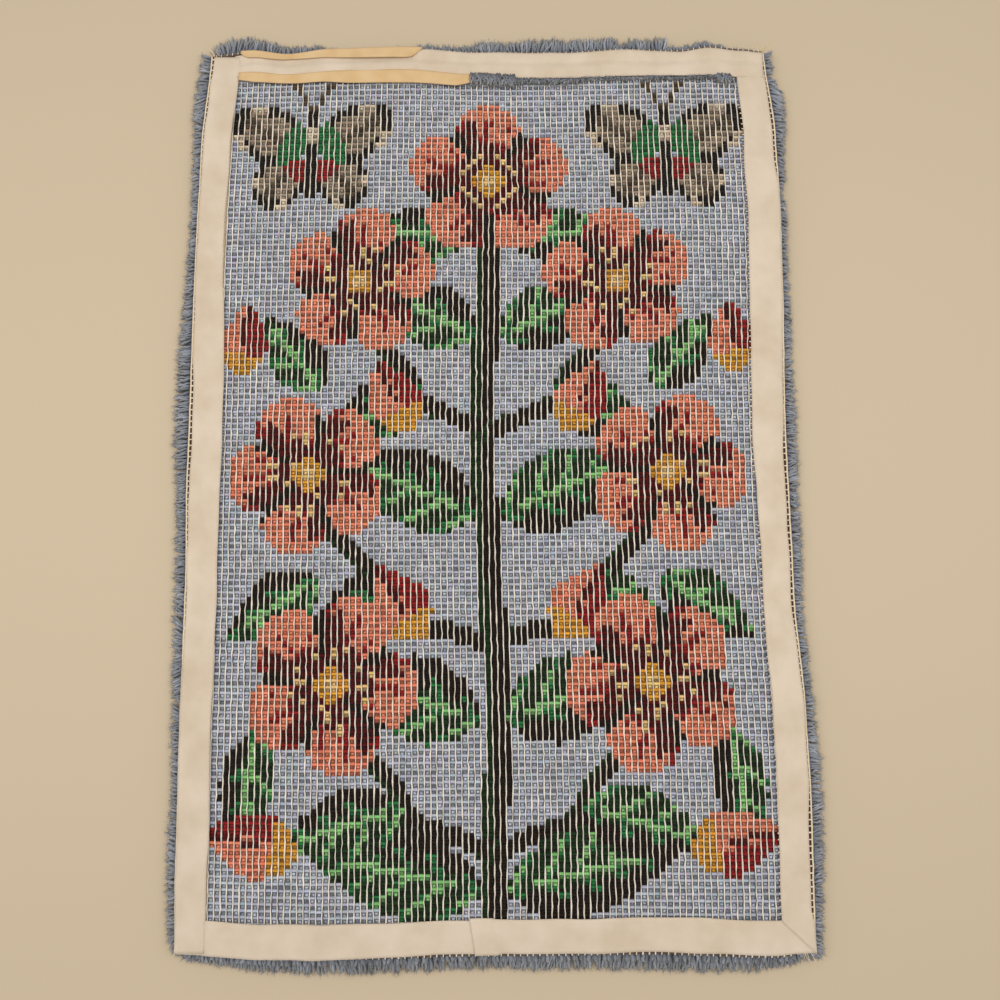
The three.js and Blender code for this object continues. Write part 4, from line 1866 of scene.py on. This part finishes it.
@dataclass
class PileFace(Piece):
    """The face of the pile, underneath, in the design's colours and pressed into soft lumps.

    Sizes are in millimetres. The two lumps' sines have radians for each column and row.
    """

    chart: Chart
    sides: int = 3
    root_radius: float = 2.4
    tip_radius: tuple[float, float] = (3.0, 3.9)
    place_spread: float = 0.12
    lump: tuple[float, float] = (0.55, 0.5)
    swell: tuple[float, float] = (0.23, 0.31)
    swell_share: float = 0.6
    gap: float = 1.4
    lump_height: float = 0.7
    gap_spread: float = 0.3
    gap_limits: tuple[float, float] = (0.2, 4)
    lean: float = 1.6
    shade_spread: float = 0.1
    # Painted shade: each tuft's root takes this share of its colour.
    root_shade: float = 0.5

    def build(self) -> bpy.types.Object:
        """Makes the tufts.

        Returns:
            The tufts, joined.
        """
        lay = self.lay
        rows, columns = (grid.ravel() for grid in np.mgrid[0:lay.rows, 0:lay.columns])
        count = len(rows)
        jitter = self.spread(self.place_spread, 2, count)
        root = lay.at((columns + 0.5 + jitter[0]) / lay.columns, (rows + 0.5 + jitter[1]) / lay.rows)
        lumps = np.sin(columns * self.lump[0]) * np.sin(rows * self.lump[1] + 1)
        lumps += self.swell_share * np.sin(columns * self.swell[0] + rows * self.swell[1])
        low = self.gap + self.lump_height * lumps + self.spread(self.gap_spread, count)
        lean = self.spread(self.lean, count, 2) * MM
        top = np.column_stack([root, np.full(count, self.levels.pile_top)])
        tip = np.column_stack([root + lean, low.clip(*self.gap_limits) * MM])
        tips = self.draw(*self.tip_radius, count)
        radius = np.stack([np.full(count, self.root_radius), tips], axis=1) * MM
        points, faces = tubes(np.stack([top, tip], axis=1), radius, radius, self.sides)
        points[:, 2] = np.clip(points[:, 2], 0, self.levels.pile_top)
        tone = self.chart.colours()[rows, columns] * (1 + self.spread(self.shade_spread, count, 1))
        # Painted shade: the tuft is darkened at its root and full at its tip.
        shade = np.stack([tone * self.root_shade, tone], axis=1).clip(0, 1)
        joined = Joined()
        joined.add(points, faces, ring_colours(shade, self.sides))
        return self.seat(joined.build("pile_face", self.finishes.yarn), Slot.YARN, "pile")


@dataclass(frozen=True)
class TapeCut:
    """A length of tape along an edge, in millimetres.

    Its outer and inner sides are tables of shares and insets. Slants are how far an end is cut askew for
    each millimetre inwards. Tucked says which ends go under the next tape. Ridges are rows of place, height
    and half width. Swells run along the tape and are rows of share across, height and half width. A station
    is the length of one cell of its mesh.
    """

    node: str
    side: Side
    start: float
    end: float
    outer: tuple[tuple[float, ...], tuple[float, ...]]
    inner: tuple[tuple[float, ...], tuple[float, ...]]
    slant_start: float = 0
    slant_end: float = 0
    lapped: bool = False
    tucked: tuple[bool, bool] = (False, False)
    ridges: tuple[tuple[float, float, float], ...] = ()
    swells: tuple[tuple[float, float, float], ...] = ()
    station: float = 4
    probes: int = 60

    @property
    def width(self) -> float:
        """The tape's mean width in metres."""
        run = np.linspace(0, 1, self.probes)
        return float(np.mean(smooth_table(*self.inner, run) - smooth_table(*self.outer, run))) * MM

    @property
    def length(self) -> float:
        """The tape's length in metres."""
        return (self.end - self.start) * MM


@dataclass
class Binding(Piece):
    """The cotton binding tape over the hem, in millimetres.

    Ripples have height, length and skew across the tape, wanders of its sides have width and length.
    """

    cuts: tuple[TapeCut, ...] = (
        TapeCut(
            "binding_left", Side.LEFT, 2, 1012,
            outer=((0, 0.28, 0.34, 0.4, 0.43, 0.46, 0.485, 0.6, 0.64, 0.72, 0.78, 0.92, 0.965, 0.98, 1),
                   (0.6, 0.6, 1.8, 2, 2.8, 2.8, 3.9, 3.9, 2.3, 1.4, 2.2, 2.4, 2.4, 3.9, 4.2)),
            inner=((0, 0.09, 0.37, 0.5, 0.63, 0.755, 0.88, 1), (32, 34.2, 35, 38, 38, 32.5, 34.3, 35.6)),
            ridges=((775, 1.4, 14), (930, 1.3, 20), (205, 0.9, 24), (520, 0.8, 30)),
        ),
        TapeCut(
            "binding_right", Side.RIGHT, 0.1, 989,
            outer=((0, 0.028, 0.042, 0.14, 0.18, 0.32, 0.37, 0.53, 0.58, 0.65, 0.69, 0.85, 0.89, 1),
                   (0.4, 0.6, 3.8, 3.8, 2.4, 2.4, 4.1, 4.1, 2.5, 2.3, 0.8, 0.8, 3.6, 3.4)),
            inner=((0, 0.25, 0.37, 0.45, 0.55, 0.75, 0.85, 0.95, 1),
                   (36, 36.3, 34.2, 36, 38, 38.5, 39, 37.3, 36.5)),
            slant_start=0.923, slant_end=0.058, tucked=(False, True),
            ridges=((470, 1.3, 22), (700, 0.9, 26), (250, 0.8, 30)),
        ),
        TapeCut(
            "binding_top", Side.TOP, 31, 675,
            outer=((0, 0.02, 0.035, 0.6, 0.8, 1), (5.4, 5.4, 2.6, 2.4, 3.4, 3.6)),
            inner=((0, 0.45, 0.54, 0.653, 0.728, 0.829, 0.897, 0.955, 1),
                   (32, 32.5, 34.8, 35, 36.5, 34, 38, 37.2, 36.5)),
            tucked=(True, False), ridges=((420, 1.0, 20), (560, 1.0, 26)),
            swells=((0.68, 1.9, 0.27), (0.37, -1.0, 0.18)),
        ),
        TapeCut(
            "binding_bottom_left", Side.BOTTOM, 31, 338,
            outer=((0, 0.5, 0.66, 1), (0.4, 0.6, 2.2, 2.2)), inner=((0, 1), (35.5, 35.5)),
            tucked=(True, False), ridges=((150, 1.2, 18), (90, 0.7, 16)),
        ),
        TapeCut(
            "binding_bottom_right", Side.BOTTOM, 318.4, 678.2,
            outer=((0, 0.066, 0.085, 0.8, 0.93, 1), (1, 1, 2.2, 2.6, 2.0, 0.6)),
            inner=((0, 0.066, 0.085, 0.5, 0.77, 1), (37.8, 37.8, 36.4, 36.4, 38, 36)),
            slant_start=-0.18, slant_end=-1, lapped=True, tucked=(False, True), station=2,
            ridges=((560, 0.9, 24), (450, 0.7, 26)),
        ),
    )
    thickness: float = 0.7
    cells_across: int = 12
    ripples: tuple[tuple[float, float, float], ...] = ((0.32, 19, 4), (0.3, 47, -7), (0.1, 8, 2))
    ridge_skew: float = 8
    edge_drop: float = 0.3
    edge_steepness: float = 6
    level_ends: float = 10
    lap_length: float = 24
    lap_ramp: float = 2.2
    lap_rise: float = 1.4
    tuck_length: float = 6
    tuck_ramp: float = 2.5
    tuck_depth: float = 0.5
    wanders: tuple[tuple[float, float], ...] = ((0.4, 31), (0.3, 13))

    @property
    def top(self) -> TapeCut:
        """The tape along the top edge."""
        return next(cut for cut in self.cuts if cut.side is Side.TOP)

    def build(self) -> list[bpy.types.Object]:
        """Makes every length of tape, in the order in which they are listed."""
        return [self.length(cut) for cut in self.cuts]

    def relief(self, cut: TapeCut, along: np.ndarray, across: np.ndarray) -> np.ndarray:
        """How far a tape's top stands above its even level.

        Args:
            cut: The length of tape.
            along: Millimetres along its edge.
            across: Shares from its outer side to its inner one.

        Returns:
            Heights in millimetres.
        """
        rise = np.zeros_like(along)
        for (height, run, skew), wave in zip(self.ripples, self.draw(0, 2 * math.pi, len(self.ripples))):
            rise += height * np.sin(along / run + skew * across + wave)
        for middle, height, half in cut.ridges:
            rise += self.hump(along - middle - self.ridge_skew * (across - 0.5), half, height)
        for middle, height, half in cut.swells:
            rise += self.hump(across - middle, half, height)
        outwards = np.abs(2 * across - 1) - 1
        rise -= self.edge_drop * np.clip(outwards * self.edge_steepness + 1, 0, 1)
        from_end = np.minimum(along - cut.start, cut.end - along)
        rise *= np.clip(from_end / self.level_ends, 0, 1)
        if cut.lapped:
            down = cut.start + self.lap_length + self.lap_ramp
            rise += self.lap_rise * np.clip((down - along) / self.lap_ramp, 0, 1)
        return rise

    @staticmethod
    def hump(away: np.ndarray, half: float, height: float) -> np.ndarray:
        """A soft hump's height at places away from its middle."""
        share = np.minimum(np.abs(away) / half, 1)
        return height * (1 - share * share) ** 2

    def under(self, cut: TapeCut, run: np.ndarray) -> np.ndarray:
        """How far a tape has gone under the next one at its tucked ends.

        Args:
            cut: The length of tape.
            run: Shares along it.

        Returns:
            Values from 0, on top, to 1, underneath.
        """
        share = np.zeros_like(run)
        for tucked, from_end in zip(cut.tucked, (run, 1 - run)):
            if tucked:
                left = self.tuck_length * MM - from_end * cut.length
                deep = np.clip(left / (self.tuck_ramp * MM), 0, 1)
                share = np.maximum(share, deep * deep * (3 - 2 * deep))
        return share

    def length(self, cut: TapeCut) -> bpy.types.Object:
        """Makes one length: soft edges, eased ridges and an uneven surface.

        Args:
            cut: The length.

        Returns:
            The tape.
        """
        waves = self.draw(0, 2 * math.pi, len(self.wanders))

        def place(u: np.ndarray, v: np.ndarray) -> np.ndarray:
            """Lays the tape on the hem.

            Args:
                u: Shares across the grid.
                v: Shares up the grid.

            Returns:
                The top's points.
            """
            run, across = (v, u) if cut.side.upright else (u, v)
            across = 1 - across if cut.side.far else across
            along = cut.start + run * (cut.end - cut.start)
            outer, inner = smooth_table(*cut.outer, run), smooth_table(*cut.inner, run)
            wander = np.zeros_like(along)
            for (wide, long), wave in zip(self.wanders, waves):
                wander += wide * np.sin(along / long + wave)
            inset = outer + across * (inner - outer) + wander * (2 * np.abs(across - 0.5))
            askew = (cut.slant_start * (1 - run) + cut.slant_end * run) * inset
            under = self.under(cut, run)
            height = self.relief(cut, along, across) * (1 - under) - self.tuck_depth * under
            spot = self.lay.from_edge(cut.side, (along + askew) * MM, inset * MM)
            return np.column_stack([spot, self.levels.tape_top + height * MM])

        cells = (max(2, round((cut.end - cut.start) / cut.station)), self.cells_across)
        size = (cut.length, cut.width)
        if cut.side.upright:
            cells, size = cells[::-1], size[::-1]
        tape = cloth_sheet(cut.node + "_tape", cells, size, place, self.thickness * MM, self.finishes.tape)
        return self.seat(tape, Slot.TAPE, cut.node)


@dataclass(frozen=True)
class StripCut:
    """A tan strip, in millimetres: rows of place and two insets, flat size and how its free side hangs."""

    name: str
    node: str
    rows: tuple[tuple[float, float, float], ...]
    flat: tuple[float, float]
    sag: float

    @property
    def flat_size(self) -> tuple[float, float]:
        """The strip's flat width and length in metres."""
        return self.flat[0] * MM, self.flat[1] * MM


@dataclass
class TanStrips(Piece):
    """The two tan strips along the left of the top edge, in millimetres."""

    cuts: tuple[StripCut, ...] = (
        StripCut(
            "upper_tan_strip", "strip_upper",
            ((38, 1, 4.5), (45, 1.2, 10.8), (70, 1.5, 10.6), (100, 1.5, 9), (140, 0, 10.8),
             (190, -0.8, 12.6), (238, -0.2, 14), (247, 0, 13), (259, 0.5, 2.2)),
            (11, 221), -1.0,
        ),
        StripCut(
            "lower_tan_strip", "strip_lower",
            ((36.5, 28.3, 37.6), (56, 29, 41.8), (92, 27.6, 38.8), (137, 28.6, 40.8),
             (172, 27.3, 43.6), (235, 29, 45.5), (300, 31, 46), (318, 31, 41.5)),
            (14, 282), 0.3,
        ),
    )
    thickness: float = 0.8
    ripple: tuple[float, float, float] = (0.12, 17, 3)
    cells: tuple[int, int] = (48, 6)

    def strip(self, cut: StripCut) -> bpy.types.Object:
        """Makes one strip.

        Args:
            cut: Its rows and sizes.

        Returns:
            The strip.
        """
        along_rows, outer_rows, inner_rows = np.array(cut.rows).T
        long, wide = along_rows[-1] - along_rows[0], float(np.mean(inner_rows - outer_rows))

        def place(u: np.ndarray, v: np.ndarray) -> np.ndarray:
            """Lays the strip along the top edge.

            Args:
                u: Shares across the grid.
                v: Shares up the grid.

            Returns:
                The top's points.
            """
            along, share = along_rows[0] + u * long, 1 - v
            outer = np.interp(along, along_rows, outer_rows)
            inner = np.interp(along, along_rows, inner_rows)
            height, run, skew = self.ripple
            rise = self.thickness - cut.sag * np.maximum(0, 2 * share - 1)
            rise += height * np.sin(along / run + skew * share)
            inset = outer + (inner - outer) * share
            spot = self.lay.from_edge(Side.TOP, along * MM, inset * MM)
            return np.column_stack([spot, self.levels.strip_base + rise * MM])

        size = (long * MM, wide * MM)
        made = cloth_sheet(cut.name, self.cells, size, place, self.thickness * MM, self.finishes.strip)
        return self.seat(made, Slot.STRIP, cut.node)

    def build(self) -> list[bpy.types.Object]:
        """Makes both strips."""
        return [self.strip(cut) for cut in self.cuts]


@dataclass(frozen=True)
class Lamp:
    """A soft square lamp: its place and side in metres, its power in watts and its linear colour."""

    name: str
    place: tuple[float, float, float]
    size: float
    power: float
    colour: tuple[float, float, float]

    def hang(self) -> None:
        """Hangs the lamp so that it points at the hanging."""
        light = bpy.data.lights.new(self.name, "AREA")
        light.size = self.size
        light.energy = self.power
        light.color = self.colour
        made = link(self.name, light)
        made.location = self.place
        made.rotation_euler = (-made.location).to_track_quat("-Z", "Y").to_euler()


@dataclass(frozen=True)
class Studio:
    """The pale floor, the soft light and the camera above."""

    floor_colour: tuple[int, int, int] = (203, 187, 162)
    floor_roughness: float = 0.6
    floor_size: float = 8
    sky_colour: tuple[float, float, float] = (1, 0.965, 0.915)
    sky_strength: float = 0.52
    lamps: tuple[Lamp, ...] = (
        Lamp("window", (0.9, 0.13, 1.7), 1.2, 11.5, (1, 0.955, 0.88)),
        Lamp("ceiling", (-0.9, 0.08, 1.7), 1.6, 15, (1, 0.945, 0.86)),
    )
    lens: float = 27.04
    sensor: float = 36
    tilt: float = math.radians(6.4)
    distance: float = 0.839
    aim: tuple[float, float, float] = (0.0145, -0.030, 0.020)

    def floor(self) -> None:
        """Makes the floor."""
        bm = bmesh.new()
        bmesh.ops.create_grid(bm, x_segments=1, y_segments=1, size=self.floor_size / 2)
        mesh = bpy.data.meshes.new("floor")
        bm.to_mesh(mesh)
        bm.free()
        material = bpy.data.materials.new("pale_floor")
        material.use_nodes = True
        shader = material.node_tree.nodes["Principled BSDF"]
        shader.inputs["Base Color"].default_value = (*linear(self.floor_colour), 1)
        shader.inputs["Roughness"].default_value = self.floor_roughness
        mesh.materials.append(material)
        link("floor", mesh)

    def light(self) -> None:
        """Sets the soft surroundings and hangs the lamps."""
        scene = bpy.context.scene
        world = bpy.data.worlds.new("studio")
        world.use_nodes = True
        sky = world.node_tree.nodes["Background"]
        sky.inputs["Color"].default_value = (*self.sky_colour, 1)
        sky.inputs["Strength"].default_value = self.sky_strength
        scene.world = world
        scene.view_settings.view_transform = "Standard"
        for lamp in self.lamps:
            lamp.hang()

    def camera(self, lay: Lay) -> None:
        """Places the camera almost straight above, leaning back from the bottom edge.

        Args:
            lay: How the cloth lies; the camera aims at a point of it.
        """
        data = bpy.data.cameras.new("camera")
        data.lens = self.lens
        data.sensor_width = self.sensor
        made = link("camera", data)
        x, y = self.aim[:2] + lay.shift
        back, up = self.distance * math.sin(self.tilt), self.distance * math.cos(self.tilt)
        made.location = (x, y - back, self.aim[2] + up)
        made.rotation_euler = (self.tilt, 0, 0)
        bpy.context.scene.camera = made

    def build(self, lay: Lay) -> None:
        """Makes the whole studio.

        Args:
            lay: How the cloth lies.
        """
        self.camera(lay)
        self.floor()
        self.light()


def main() -> None:
    """Builds the hanging around its frame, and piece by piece."""
    logging.basicConfig(level=logging.INFO, format="%(name)s: %(message)s")
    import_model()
    lay, levels, finishes = Lay(), Levels.from_frame(), Finishes.make()
    Studio().build(lay)
    common = (lay, levels, finishes, np.random.default_rng(SEED))
    chart = Chart(lay.columns, lay.rows)
    FloweringTree(chart).stitch()
    canvas, edges = KnottedCanvas(*common, chart), EdgeThreads(*common)
    ground = canvas.ground(edges.open_edges)
    threads = [*canvas.knots(), WarpThreads(*common).build(), edges.build()]
    rim, binding = RimLocks(*common), Binding(*common)
    piles = [
        rim.build("rim_sides", (Side.LEFT, Side.RIGHT)),
        rim.build("rim_ends", (Side.BOTTOM, Side.TOP)),
        HemTufts(*common).build(binding.top),
        PileFace(*common, chart).build(),
    ]
    tapes = binding.build()
    strips = TanStrips(*common)
    laid_strips = strips.build()
    for tape, cut in zip(tapes, binding.cuts):
        cut.length


if __name__ == "__main__":
    main()
